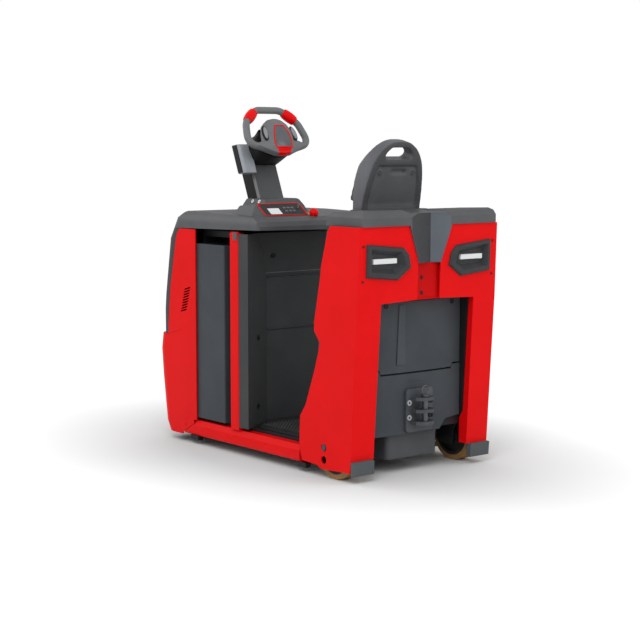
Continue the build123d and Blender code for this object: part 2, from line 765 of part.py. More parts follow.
# covers at the back: a three-faceted upper cover and a lower plate, with a stepped split
cover_half_w = leg_inner_y - 11.0
cover_face = 82.0
cover_plan = [
    (cover_face, wide(78)), (cover_face + 10, cover_half_w - 18), (cover_face + 10, cover_half_w),
    (cover_back, cover_half_w), (cover_back, cover_half_w - 18), (cover_mid, wide(76)),
]
split_z = tall(456)
split_mid = tall(437)
upper_half = [(0, split_mid), (wide(204), split_mid), (wide(212), split_z), (cover_half_w, split_z),
              (cover_half_w, rear_bend - 8)]
lower_half = [
    (0, split_mid - 3), (wide(204), split_mid - 3), (wide(212), split_z - 3), (cover_half_w, split_z - 3),
    (cover_half_w, 222), (wide(170), 214), (wide(134), 172),
]
lower_left = lower_half[:4] + [(cover_half_w, 196), (cover_half_w - 16, 172)]
for name, left, right in (("motor_cover", upper_half, upper_half), ("lower_cover", lower_left, lower_half)):
    with BuildPart() as cover:
        for sign in (1, -1):
            add(prism(Plane.XY.offset(160), [(at(s), sign * y) for s, y in cover_plan], rear_bend - 160))
        add(station_box(cover_face, cover_mid, -wide(76), wide(76), 160, rear_bend))
        add(station_box(cover_face, cover_mid, -wide(78), wide(78), 160, rear_bend))
        add(prism(Plane.YZ.offset(tail), left + [(-y, z) for y, z in right[::-1] if y], 150),
            mode=Mode.INTERSECT)
    save(cover.part, name)

# ballast block under the lower cover, and the control unit above it behind the covers
block_half_w = wide(146)
with BuildPart() as ballast_block:
    with BuildSketch(Plane.XY.offset(86)) as plan:
        with Locations(((at(112) + at(cross_front)) / 2, 0)):
            Rectangle(cross_front - 112, 2 * block_half_w)
        fillet(plan.vertices().group_by(Axis.X)[0], 22)
    extrude(amount=84)
save(ballast_block.part, "ballast_block")

with BuildPart() as control_unit:
    add(station_box(114, cross_front, 4 - rear_cheek_y, rear_cheek_y - 4, 250, frame_top - plate_t - 4))
save(control_unit.part, "control_unit")

# tow coupling: back plate, three jaw plates with a web behind them, and a lift-out pin through the jaws
jaw_levels = (214.0, 266.0, 318.0)
jaw_t = 14.0
jaw_half_w = 52.0
pin_d = 24.0
pin_station = 34.0
back_plate_t = 14.0
back_plate = cover_face - back_plate_t
pin_head_d = 36.0
with BuildPart() as tow_coupling:
    with BuildSketch(Plane.YZ.offset(at(back_plate))):
        with Locations((0, (jaw_levels[0] + jaw_levels[-1] + jaw_t) / 2)):
            RectangleRounded(152, 186, 14)
    extrude(amount=back_plate_t)
    for level in jaw_levels:
        with BuildSketch(Plane.XY.offset(level)) as jaw:
            with BuildLine():
                Polyline((at(back_plate), jaw_half_w), (at(back_plate), -jaw_half_w),
                         (at(pin_station), -jaw_half_w),
                         (at(8), -26), (at(8), 26), (at(pin_station), jaw_half_w), close=True)
            make_face()
            fillet(jaw.vertices().group_by(Axis.X)[0], 14)
            with Locations((at(pin_station), 0)):
                Circle(pin_d / 2 + running_gap, mode=Mode.SUBTRACT)
        extrude(amount=jaw_t)
save(tow_coupling.part, "tow_coupling")

with BuildPart() as coupling_pin:
    with BuildSketch(Plane.XY.offset(jaw_levels[0] - 6)):
        with Locations((at(pin_station), 0)):
            Circle(pin_d / 2)
    extrude(amount=jaw_levels[-1] + jaw_t + 10 - jaw_levels[0] + 6)
    with BuildSketch(Plane.XY.offset(jaw_levels[-1] + jaw_t + soft_gap)):
        with Locations((at(pin_station), 0)):
            Circle(pin_head_d / 2)
    extrude(amount=10)
save(coupling_pin.part, "coupling_pin")

# backrest: arched shell with a grab handle and a sunk rear panel, and the cushion in front of it
back_base = rear_hood_top - 6.0
back_lean = radians(14)
back_station = 247.0
back_t = 48.0
cushion_t = 38.0
sunk_depth = 8.0
back_plane = Plane(origin=(at(back_station), 0, back_base), x_dir=(0, 1, 0),
                   z_dir=(cos(back_lean), 0, sin(back_lean)))
arch = [(170, -14), (165, 70), (153, 150), (136, 208), (110, 250), (80, 276), (38, 294)]
handle = [(79, 216), (74, 244), (44, 268)]
sunk_panel = [(140, 14), (130, 120), (108, 190)]
cushion = [(164, 8), (160, 60), (148, 142), (132, 188), (112, 206)]
with BuildPart() as backrest_shell:
    with BuildSketch(back_plane) as shell_face:
        with BuildLine():
            Polyline(*closed(arch), close=True)
        make_face()
        fillet(shell_face.vertices().filter_by(lambda v: v.Z > back_base + 1), 28)
    extrude(amount=back_t)
    with BuildSketch(back_plane.offset(-5)) as handle_face:
        with BuildLine():
            Polyline(*closed(handle), close=True)
        make_face()
        fillet(handle_face.vertices(), 16)
    extrude(amount=back_t + 10, mode=Mode.SUBTRACT)
    with BuildSketch(back_plane) as sunk_face:
        with BuildLine():
            Polyline(*closed(sunk_panel), close=True)
        make_face()
        fillet(sunk_face.vertices(), 12)
        with Locations((94, 160), (-94, 160)):
            Circle(9, mode=Mode.SUBTRACT)
    extrude(amount=sunk_depth, mode=Mode.SUBTRACT)
    with BuildSketch(back_plane):
        with Locations((94, 160), (-94, 160)):
            Circle(6)
        with Locations((-14, 162)):
            SlotOverall(92, 20)
    extrude(amount=sunk_depth + 8, mode=Mode.SUBTRACT)
    add(station_box(0, back_station + 80, -side_y, side_y, back_base - 40, back_base), mode=Mode.SUBTRACT)
save(backrest_shell.part, "backrest_shell")

with BuildPart() as backrest_cushion:
    with BuildSketch(back_plane.offset(back_t + soft_gap)) as cushion_face:
        with BuildLine():
            Polyline(*closed(cushion), close=True)
        make_face()
        fillet(cushion_face.vertices(), 18)
    extrude(amount=cushion_t)
    fillet(backrest_cushion.faces().sort_by(Axis.X)[-1].edges(), 12)
save(backrest_cushion.part, "backrest_cushion")

# steering column: leaning box with rounded edges on a flared foot, and the side box on it
column_station = length - 447.0
column_lean = 0.40
column_w = 158.0
column_d = 100.0
column_h = 238.0
foot_flare = 30.0
column_top = hood_top + column_h


def column_line(z):
    """Station of the column's rear face at a height."""
    return column_station + (z - hood_top) * column_lean


with BuildPart() as steering_column:
    add(side_prism([(column_line(hood_top - 42), hood_top - 42), (column_line(column_top), column_top),
                    (column_line(column_top) + column_d, column_top),
                    (column_line(hood_top - 42) + column_d, hood_top - 42)],
                   -column_w / 2, column_w / 2))
    chamfer(steering_column.edges().filter_by(lambda e: e.length > 290), 12)
    add(side_prism([(column_station - foot_flare, hood_top - 42), (column_station - foot_flare, hood_top + 8),
                    (column_station - 8, hood_top + 32),
                    (column_station + column_d + foot_flare, hood_top + 32),
                    (column_station + column_d + foot_flare + 12, hood_top - 42)],
                   -column_w / 2 - 14, column_w / 2 + 14))
    add(outer_body, mode=Mode.SUBTRACT)
save(steering_column.part, "steering_column")

box_bottom = hood_top + 178.0
box_top = hood_top + 312.0
box_back = 40.0
box_front = 22.0
box_w = 76.0
with BuildPart() as column_box:
    add(side_prism([(column_line(box_bottom) - box_back, box_bottom),
                    (column_line(box_top) - box_back, box_top),
                    (column_line(box_top) + box_front, box_top - 8),
                    (column_line(box_bottom) + box_front, box_bottom - 8)],
                   column_w / 2 + soft_gap, column_w / 2 + box_w))
    chamfer(column_box.edges().filter_by(lambda e: e.length > 120).sort_by(Axis.Y)[-2:], 12)
save(column_box.part, "column_box")

# hand wheel: tube loop with rounded corners, blended at the bottom into a wide moulded hub
wheel_station = length - 435.0
wheel_z = hood_top + 390.0
tilt = radians(wheel_tilt)
wheel_plane = Plane(origin=(at(wheel_station), 0, wheel_z), x_dir=(0, 1, 0), z_dir=(cos(tilt), 0, -sin(tilt)))
hub_front = 34.0
hub_back = 34.0
hub_half = [(0, 40), (50, 34), (96, -6), (124, -56), (150, -92), (92, -122), (40, -146), (0, -150)]
loop = [(-40, -124), (-180, -88), (-152, 22), (-74, 92), (74, 92), (152, 22), (180, -88), (40, -124)]
with BuildPart() as steering_wheel:
    with BuildSketch(wheel_plane.offset(-hub_front)) as hub_face:
        with BuildLine():
            Polyline(*closed(hub_half), close=True)
        make_face()
    extrude(amount=hub_front + hub_back)
    chamfer(steering_wheel.faces().sort_by(Axis(wheel_plane.origin, wheel_plane.z_dir))[0].edges(), 12)
    with BuildLine(wheel_plane) as loop_path:
        FilletPolyline(*loop, radius=72)
    with BuildSketch(Plane(origin=loop_path.line @ 0, z_dir=loop_path.line % 0)):
        Circle(wheel_tube / 2)
    sweep()
save(steering_wheel.part, "steering_wheel")

# fixed head that carries the hand wheel on the column
head_gap = 6.0
head_plane = wheel_plane.offset(hub_back + head_gap)
with BuildPart() as steering_head:
    add(side_prism([(column_line(column_top), column_top), (column_line(column_top) - 118, column_top + 30),
                    (wheel_station - 10, wheel_z + 58), (wheel_station + 70, wheel_z + 40),
                    (wheel_station + 120, wheel_z - 10), (column_line(column_top) + column_d, column_top)],
                   -68, 68))
    with BuildSketch(head_plane):
        Rectangle(600, 900)
    extrude(amount=-200, mode=Mode.SUBTRACT)
    with BuildSketch(head_plane):
        with Locations((0, -50)):
            Circle(18)
    extrude(amount=-(head_gap - soft_gap))
save(steering_head.part, "steering_head")

# console on the hood with its sloping face, and the emergency stop with its collar
console_y0 = -20.0
console_y1 = 210.0
console_rear = length - 677.0
console_l = 75.0
console_low = hood_top - 16.0
console_high = hood_top + 42.0
with BuildPart() as console:
    add(side_prism([(console_rear - 6, hood_top - 52), (console_rear - 6, console_low + 4),
                    (console_rear + console_l, console_high),
                    (console_rear + console_l + 40, console_high - 8),
                    (console_rear + console_l + 70, hood_top - 52)],
                   console_y0, console_y1))
    add(outer_body, mode=Mode.SUBTRACT)
save(console.part, "console")

stop_station = length - 730.0
stop_y = 12.0
stop_z = hood_top - 16.0
stop_tilt = radians(50)
stop_plane = Plane(origin=(at(stop_station), stop_y, stop_z), x_dir=(0, 1, 0),
                   z_dir=(-sin(stop_tilt), 0, cos(stop_tilt)))
with BuildPart() as stop_button:
    for radius, low, high in ((17, -14, 14), (11, 14, 21), (20, 21, 35)):
        with BuildSketch(stop_plane.offset(low)):
            Circle(radius)
        extrude(amount=high - low)
    add(outer_body, mode=Mode.SUBTRACT)
    fillet(stop_button.faces().sort_by(Axis(stop_plane.origin, stop_plane.z_dir))[-1].edges(), 7)
save(stop_button.part, "stop_button")
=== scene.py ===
"""Stand-on electric tow tractor: the visible model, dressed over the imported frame.

Metres, with +X forward, +Y left and +Z up from the floor."""
from math import ceil, cos, pi, radians, sin, sqrt

import bmesh
import bpy
from mathutils import Matrix, Vector
from mathutils.bvhtree import BVHTree


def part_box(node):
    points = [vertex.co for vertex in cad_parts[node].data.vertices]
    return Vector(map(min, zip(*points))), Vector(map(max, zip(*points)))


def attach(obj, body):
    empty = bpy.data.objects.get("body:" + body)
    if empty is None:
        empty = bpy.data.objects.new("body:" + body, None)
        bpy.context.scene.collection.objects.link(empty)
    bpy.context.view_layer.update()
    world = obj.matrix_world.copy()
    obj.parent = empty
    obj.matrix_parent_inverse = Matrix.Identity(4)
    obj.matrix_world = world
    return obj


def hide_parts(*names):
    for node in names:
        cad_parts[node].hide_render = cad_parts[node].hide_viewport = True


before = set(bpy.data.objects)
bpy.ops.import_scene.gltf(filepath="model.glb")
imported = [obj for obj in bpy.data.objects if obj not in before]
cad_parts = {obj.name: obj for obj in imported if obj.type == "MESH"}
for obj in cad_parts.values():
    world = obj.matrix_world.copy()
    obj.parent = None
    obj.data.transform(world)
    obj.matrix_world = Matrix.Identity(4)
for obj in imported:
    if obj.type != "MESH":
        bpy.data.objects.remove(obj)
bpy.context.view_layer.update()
scene = bpy.context.scene


# Studio: a plain pale floor under three soft lamps, with the camera low behind the left rear corner, as in
# the photo. The world lights the machine evenly and shows white behind it.
def new_object(name, data):
    """A new object in the scene, at the origin."""
    made = bpy.data.objects.new(name, data)
    scene.collection.objects.link(made)
    return made


camera_place = (-5.446, 4.393, 1.373)
camera_look = (0.7725, -0.6254, -0.1101)
camera_data = bpy.data.cameras.new("camera")
camera_data.lens = 86.0
camera_data.sensor_width = 36.0
camera = new_object("camera", camera_data)
camera.location = camera_place
camera.rotation_euler = Vector(camera_look).to_track_quat("-Z", "Y").to_euler()
scene.camera = camera
scene.view_settings.view_transform = "Standard"


def new_tree(owner):
    """The node tree of a material or world, emptied."""
    owner.use_nodes = True
    owner.node_tree.nodes.clear()
    return owner.node_tree


def node_in(tree, kind, **settings):
    """A node of that kind in a tree, with its own settings and its inputs' values."""
    node = tree.nodes.new(kind)
    for key, value in settings.items():
        if hasattr(node, key):
            setattr(node, key, value)
        else:
            node.inputs[key.replace("_", " ")].default_value = value
    return node


def join(tree, *pairs):
    """Joins each output to its input in a node tree."""
    for source, target in pairs:
        tree.links.new(source, target)


world = bpy.data.worlds.new("studio")
scene.world = world
world_tree = new_tree(world)
light_path = node_in(world_tree, "ShaderNodeLightPath")
seen = node_in(world_tree, "ShaderNodeMath", operation="MAXIMUM")
lighting = node_in(world_tree, "ShaderNodeBackground", Color=(1, 1, 1, 1), Strength=0.62)
backdrop = node_in(world_tree, "ShaderNodeBackground", Color=(1, 1, 1, 1), Strength=1.0)
choose = node_in(world_tree, "ShaderNodeMixShader")
world_out = node_in(world_tree, "ShaderNodeOutputWorld")
join(
    world_tree,
    (light_path.outputs["Is Camera Ray"], seen.inputs[0]),
    (light_path.outputs["Is Transmission Ray"], seen.inputs[1]),
    (seen.outputs[0], choose.inputs[0]),
    (lighting.outputs[0], choose.inputs[1]),
    (backdrop.outputs[0], choose.inputs[2]),
    (choose.outputs[0], world_out.inputs[0]),
)
lamp_aim = Vector((0, 0, 0.6))
for lamp_name, lamp_place, lamp_size, lamp_power in (
    ("key_lamp", (-3.2, 3.4, 4.6), 3.5, 92.0),
    ("fill_lamp", (-4.6, -2.6, 3.0), 3.0, 34.0),
    ("front_lamp", (4.2, 2.4, 3.4), 3.0, 40.0),
):
    lamp_data = bpy.data.lights.new(lamp_name, "AREA")
    lamp_data.shape = "DISK"
    lamp_data.size = lamp_size
    lamp_data.energy = lamp_power
    lamp = new_object(lamp_name, lamp_data)
    lamp.location = lamp_place
    lamp.rotation_euler = (lamp_aim - Vector(lamp_place)).to_track_quat("-Z", "Y").to_euler()
# The floor shows its own tone and the shadow round the machine, and glows to white further out.
floor_reach = 60.0
floor_corners = [(u * floor_reach, v * floor_reach, 0) for u, v in ((-1, -1), (1, -1), (1, 1), (-1, 1))]
floor_mesh = bpy.data.meshes.new("floor")
floor_mesh.from_pydata(floor_corners, [], [(0, 1, 2, 3)])
floor = new_object("floor", floor_mesh)
floor_paint = bpy.data.materials.new("pale_floor")
floor_tree = new_tree(floor_paint)
floor_diffuse = node_in(floor_tree, "ShaderNodeBsdfDiffuse", Color=(0.90, 0.90, 0.90, 1))
floor_path = node_in(floor_tree, "ShaderNodeLightPath")
floor_lift = node_in(floor_tree, "ShaderNodeMath", operation="MULTIPLY")
floor_spot = node_in(floor_tree, "ShaderNodeTexCoord")
floor_oval = node_in(floor_tree, "ShaderNodeVectorMath", operation="MULTIPLY")
floor_oval.inputs[1].default_value = (1.0, 1.5, 0.0)
floor_away = node_in(floor_tree, "ShaderNodeVectorMath", operation="LENGTH")
floor_rise = node_in(floor_tree, "ShaderNodeMapRange", From_Min=0.80, From_Max=2.2, To_Min=0.0, To_Max=0.46)
floor_glow = node_in(floor_tree, "ShaderNodeEmission", Color=(1, 1, 1, 1))
floor_sum = node_in(floor_tree, "ShaderNodeAddShader")
floor_out = node_in(floor_tree, "ShaderNodeOutputMaterial")
join(
    floor_tree,
    (floor_spot.outputs["Object"], floor_oval.inputs[0]),
    (floor_oval.outputs[0], floor_away.inputs[0]),
    (floor_away.outputs["Value"], floor_rise.inputs["Value"]),
    (floor_rise.outputs["Result"], floor_lift.inputs[1]),
    (floor_path.outputs["Is Camera Ray"], floor_lift.inputs[0]),
    (floor_lift.outputs[0], floor_glow.inputs["Strength"]),
    (floor_diffuse.outputs[0], floor_sum.inputs[0]),
    (floor_glow.outputs[0], floor_sum.inputs[1]),
    (floor_sum.outputs[0], floor_out.inputs[0]),
)
floor_mesh.materials.append(floor_paint)


# Floor frame and sills: welded steel sheet. The deck is painted black; the sills are folded steps in red
# enamel, screwed along both sides of the deck, with two small jacking brackets under each.
def shade(red, green, blue):
    """Linear colour of one written in eight bits a channel."""
    out = []
    for value in (red, green, blue):
        value = value / 255
        out.append(value / 12.92 if value <= 0.04045 else ((value + 0.055) / 1.055) ** 2.4)
    return (*out, 1)


def finish(
    name, dark, light, roughness, spread, grain, depth, cells=False, metallic=0.0, shine=0.5, mottle=6.0
):
    """A surface whose colour drifts between two tones, with its own gloss, uneven gloss and grain.

    spread is how far the roughness wanders, grain how many grains go to a metre, depth how deep they are in
    metres and mottle the drift's scale."""
    material = bpy.data.materials.new(name)
    tree = new_tree(material)
    place = node_in(tree, "ShaderNodeTexCoord")
    shader = node_in(tree, "ShaderNodeBsdfPrincipled", Metallic=metallic, Specular_IOR_Level=shine)
    out = node_in(tree, "ShaderNodeOutputMaterial")
    drift = node_in(tree, "ShaderNodeTexNoise", Scale=mottle, Detail=5.0, Roughness=0.62)
    ramp = node_in(tree, "ShaderNodeValToRGB")
    for tone, position, colour in zip(ramp.color_ramp.elements, (0.32, 0.68), (dark, light)):
        tone.position = position
        tone.color = shade(*colour)
    gloss_noise = node_in(tree, "ShaderNodeTexNoise", Scale=mottle * 4, Detail=6.0)
    gloss = node_in(tree, "ShaderNodeMapRange", To_Min=roughness - spread, To_Max=roughness + spread)
    if cells:
        grains = node_in(tree, "ShaderNodeTexVoronoi", Scale=grain)
        height = grains.outputs["Distance"]
    else:
        grains = node_in(tree, "ShaderNodeTexNoise", Scale=grain, Detail=3.0)
        height = grains.outputs["Fac"]
    relief = node_in(tree, "ShaderNodeBump", Strength=0.6, Distance=depth)
    join(
        tree,
        (place.outputs["Object"], drift.inputs["Vector"]),
        (drift.outputs["Fac"], ramp.inputs["Fac"]),
        (ramp.outputs["Color"], shader.inputs["Base Color"]),
        (place.outputs["Object"], gloss_noise.inputs["Vector"]),
        (gloss_noise.outputs["Fac"], gloss.inputs["Value"]),
        (gloss.outputs["Result"], shader.inputs["Roughness"]),
        (place.outputs["Object"], grains.inputs["Vector"]),
        (height, relief.inputs["Height"]),
        (relief.outputs["Normal"], shader.inputs["Normal"]),
        (shader.outputs[0], out.inputs[0]),
    )
    return material


def enamel(name, dark, light, roughness, shine):
    """A smooth stoved paint on sheet steel."""
    return finish(name, dark, light, roughness, 0.05, 420, 0.0002, shine=shine)


# The red enamel throws a duller red on the pieces beside it than it shows to the eye.
red_enamel = enamel("red_enamel", (235, 8, 12), (243, 12, 15), 0.46, 0.10)
red_tree = red_enamel.node_tree
red_shader = next(node for node in red_tree.nodes if node.type == "BSDF_PRINCIPLED")
red_source = red_shader.inputs["Base Color"].links[0].from_socket
red_seen = node_in(red_tree, "ShaderNodeLightPath")
red_mix = node_in(red_tree, "ShaderNodeMix", data_type="RGBA")
red_mix.inputs[7].default_value = (0.20, 0.07, 0.07, 1)
join(
    red_tree,
    (red_seen.outputs["Is Diffuse Ray"], red_mix.inputs[0]),
    (red_source, red_mix.inputs[6]),
    (red_mix.outputs[2], red_shader.inputs["Base Color"]),
)
black_enamel = finish("black_enamel", (24, 25, 27), (34, 35, 37), 0.50, 0.07, 420, 0.0003, shine=0.3)


def add_piece(name, mesh, body, paint_slot, *nodes):
    """A new object at the origin, riding its body and standing for the CAD nodes named."""
    piece = new_object(name, mesh)
    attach(piece, body)
    if nodes:
        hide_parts(*nodes)
    return piece


def cad_shape(node):
    """A CAD node's own shape with its loose triangles joined and its flat faces made whole."""
    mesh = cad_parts[node].data.copy()
    shell = bmesh.new()
    shell.from_mesh(mesh)
    bmesh.ops.remove_doubles(shell, verts=shell.verts, dist=0.00002)
    bmesh.ops.dissolve_limit(shell, angle_limit=radians(1.5), verts=shell.verts, edges=shell.edges)
    shell.to_mesh(mesh)
    shell.free()
    mesh.materials.clear()
    return mesh


def plain_mesh(holder):
    """The plain mesh that an object shows with its modifiers; the object is removed."""
    bpy.context.view_layer.update()
    made = bpy.data.meshes.new_from_object(holder.evaluated_get(bpy.context.evaluated_depsgraph_get()))
    bpy.data.objects.remove(holder)
    return made


def worked(mesh, *steps):
    """The mesh with a row of modifiers applied; each step is a modifier's kind and its settings."""
    holder = new_object("holder", mesh)
    for kind, settings in steps:
        modifier = holder.modifiers.new(kind.lower(), kind)
        for key, value in settings.items():
            setattr(modifier, key, value)
    return plain_mesh(holder)


def painted(mesh, *materials):
    """The mesh in those materials, the first of them on every face, and shaded evenly."""
    mesh.materials.clear()
    for material in materials:
        mesh.materials.append(material)
    mesh.shade_smooth()
    return mesh


def rounded(mesh, material, edge=0.0015, corner=26, rings=3):
    """The mesh in one material, its corners rounded by edge."""
    bevel = {"width": edge, "segments": rings, "limit_method": "ANGLE", "angle_limit": radians(corner)}
    return worked(painted(mesh, material), ("BEVEL", bevel), ("WEIGHTED_NORMAL", {"keep_sharp": False}))


def skin(node, name, material, paint_slot, body="machine", **rounding):
    """A piece that is the CAD node's shape with rounded corners, in its place."""
    return add_piece(name, rounded(cad_shape(node), material, **rounding), body, paint_slot, node)


def dress(node, material):
    """A CAD node that is shown as it is, in a better material."""
    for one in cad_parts[node].material_slots:
        one.material = material


def flat_place(origin, right, up):
    """Matrix of a flat place on the machine: right, up along it, and out of it."""
    right = Vector(right).normalized()
    out = right.cross(Vector(up)).normalized()
    turn = Matrix((right, out.cross(right), out)).transposed()
    return Matrix.Translation(origin) @ turn.to_4x4()


def mesh_of(shell):
    """The mesh of a shape that is made; the working copy is freed."""
    mesh = bpy.data.meshes.new("made")
    shell.to_mesh(mesh)
    shell.free()
    return mesh


def slab(outline, low, high, place):
    """Plate with that outline, from low to high above a flat place."""
    shell = bmesh.new()
    base = shell.faces.new([shell.verts.new((u, v, low)) for u, v in outline])
    grown = bmesh.ops.extrude_face_region(shell, geom=[base])
    tips = [one for one in grown["geom"] if isinstance(one, bmesh.types.BMVert)]
    bmesh.ops.translate(shell, verts=tips, vec=(0, 0, high - low))
    bmesh.ops.transform(shell, matrix=place, verts=shell.verts)
    bmesh.ops.recalc_face_normals(shell, faces=shell.faces)
    return mesh_of(shell)


def box_outline(width, height, middle=(0, 0)):
    """Four corners of a rectangle round its middle."""
    corners = ((-1, -1), (1, -1), (1, 1), (-1, 1))
    return [(middle[0] + u * width / 2, middle[1] + v * height / 2) for u, v in corners]


def gathered(meshes):
    """One mesh made of several, keeping their materials."""
    shell = bmesh.new()
    paints = []
    for mesh in meshes:
        for paint in mesh.materials:
            if paint not in paints:
                paints.append(paint)
        start = len(shell.faces)
        shell.from_mesh(mesh)
        shell.faces.ensure_lookup_table()
        for face in shell.faces[start:]:
            face.material_index = paints.index(mesh.materials[face.material_index])
    whole = mesh_of(shell)
    for paint in paints:
        whole.materials.append(paint)
    return whole


dress("floor_frame", black_enamel)
skin("side_sills", "sill_steps", red_enamel, "red_paint", edge=0.0025)
sill_low, sill_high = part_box("side_sills")
bracket_l, bracket_w, bracket_h = 0.060, 0.030, 0.022
bracket_y = sill_high.y - 0.022
brackets = []
for bracket_x in (0.440, -0.371):
    for side in (1, -1):
        bracket_place = flat_place((bracket_x, side * bracket_y, sill_low.z), (1, 0, 0), (0, 1, 0))
        plate = slab(box_outline(bracket_l, bracket_w), -bracket_h, 0.0, bracket_place)
        brackets.append(rounded(plate, black_enamel, edge=0.002))
add_piece("jacking_brackets", gathered(brackets), "machine", "black_paint")


# Screws, bolts and nuts: zinc or blackened steel heads with a socket, spread by one node tree over points
# that carry the direction they face. Each row becomes one plain mesh; the first row holds the sills.
def named_inputs(tree, *inputs):
    """Gives a geometry tree its mesh output and its inputs, each with its name, kind and usual value."""
    sockets = {}
    for name, kind, value in inputs:
        sockets[name] = tree.interface.new_socket(name, in_out="INPUT", socket_type="NodeSocket" + kind)
        if value is not None:
            sockets[name].default_value = value
    tree.interface.new_socket("Mesh", in_out="OUTPUT", socket_type="NodeSocketGeometry")
    return sockets


screw_tree = bpy.data.node_groups.new("screw_heads", "GeometryNodeTree")
screw_sockets = named_inputs(
    screw_tree, ("Points", "Geometry", None), ("Radius", "Float", 0.005), ("Height", "Float", 0.003),
    ("Socket", "Float", 0.5), ("Paint", "Material", None),
)
screw_in = screw_tree.nodes.new("NodeGroupInput")
screw_out = screw_tree.nodes.new("NodeGroupOutput")
head = node_in(screw_tree, "GeometryNodeMeshCylinder", Vertices=18)
rim = node_in(screw_tree, "GeometryNodeExtrudeMesh", Offset_Scale=0.0)
narrow = node_in(screw_tree, "GeometryNodeScaleElements")
sink = node_in(screw_tree, "GeometryNodeExtrudeMesh")
sink_depth = node_in(screw_tree, "ShaderNodeMath", operation="MULTIPLY")
sink_depth.inputs[1].default_value = -0.7
facing = node_in(screw_tree, "GeometryNodeInputNamedAttribute", data_type="FLOAT_VECTOR", Name="facing")
turned = node_in(screw_tree, "FunctionNodeAlignRotationToVector", axis="Z")
spread = node_in(screw_tree, "GeometryNodeInstanceOnPoints")
real = node_in(screw_tree, "GeometryNodeRealizeInstances")
paint = node_in(screw_tree, "GeometryNodeSetMaterial")
join(
    screw_tree,
    (screw_in.outputs["Radius"], head.inputs["Radius"]),
    (screw_in.outputs["Height"], head.inputs["Depth"]),
    (head.outputs["Mesh"], rim.inputs["Mesh"]),
    (head.outputs["Top"], rim.inputs["Selection"]),
    (rim.outputs["Mesh"], narrow.inputs["Geometry"]),
    (rim.outputs["Top"], narrow.inputs["Selection"]),
    (screw_in.outputs["Socket"], narrow.inputs["Scale"]),
    (narrow.outputs["Geometry"], sink.inputs["Mesh"]),
    (rim.outputs["Top"], sink.inputs["Selection"]),
    (screw_in.outputs["Height"], sink_depth.inputs[0]),
    (sink_depth.outputs[0], sink.inputs["Offset Scale"]),
    (facing.outputs["Attribute"], turned.inputs["Vector"]),
    (screw_in.outputs["Points"], spread.inputs["Points"]),
    (sink.outputs["Mesh"], spread.inputs["Instance"]),
    (turned.outputs["Rotation"], spread.inputs["Rotation"]),
    (spread.outputs["Instances"], real.inputs["Geometry"]),
    (real.outputs["Geometry"], paint.inputs["Geometry"]),
    (screw_in.outputs["Paint"], paint.inputs["Material"]),
    (paint.outputs["Geometry"], screw_out.inputs["Mesh"]),
)


def run_tree(tree, sockets, points, settings):
    """The plain mesh that a geometry tree makes of the points with those settings."""
    holder = new_object("holder", points)
    modifier = holder.modifiers.new("tree", "NODES")
    modifier.node_group = tree
    for name, value in settings.items():
        modifier[sockets[name].identifier] = value
    return plain_mesh(holder)


def fasteners(name, spots, material, paint_slot, body="machine", *, radius, height, socket=0.5):
    """Screw heads at those places, each given with the direction that it faces."""
    points = bpy.data.meshes.new("spots")
    points.from_pydata([place for place, _ in spots], [], [])
    directions = points.attributes.new("facing", "FLOAT_VECTOR", "POINT")
    for index, (_, direction) in enumerate(spots):
        directions.data[index].vector = Vector(direction).normalized()
    settings = {"Radius": radius, "Height": height, "Socket": socket, "Paint": material}
    return add_piece(name, run_tree(screw_tree, screw_sockets, points, settings), body, paint_slot)


black_screw = finish("black_screw", (16, 16, 17), (26, 26, 28), 0.42, 0.06, 500, 0.0002, metallic=0.3)
sill_screw_z = 0.088
sill_spots = [
    ((x, side * sill_high.y, sill_screw_z), (0, side, 0))
    for x in (-0.335, -0.12, 0.095, 0.31, 0.50) for side in (1, -1)
]
fasteners("sill_screws", sill_spots, red_enamel, "red_paint", radius=0.0045, height=0.002)

# Rear frame, front subframe and what stands on them: welded plate in black enamel, bolted to the floor frame.
# The ballast block at the tail is painted, the drive is bare cast iron and the control unit is in a grey box.
cast_iron = finish("cast_iron", (76, 78, 81), (94, 96, 99), 0.62, 0.10, 260, 0.0009, metallic=0.2, shine=0.35)
grey_casing = finish("grey_casing", (66, 70, 74), (74, 78, 82), 0.52, 0.06, 700, 0.0003)
dress("rear_frame", black_enamel)
dress("front_subframe", black_enamel)
ballast = cad_shape("ballast_block")
ballast_middle = 0.13
ballast_drop = 0.024
for vert in ballast.vertices:
    if vert.co.z < ballast_middle:
        vert.co.z -= ballast_drop
ballast_paint = finish("ballast_paint", (74, 77, 80), (84, 87, 90), 0.55, 0.06, 420, 0.0003, shine=0.25)
ballast = rounded(ballast, ballast_paint, edge=0.006)
add_piece("ballast_casting", ballast, "machine", "coupling_iron", "ballast_block")
dress("control_unit", grey_casing)
dress("drive_motor", cast_iron)
dress("drive_leg", cast_iron)
dress("battery_rails", black_enamel)

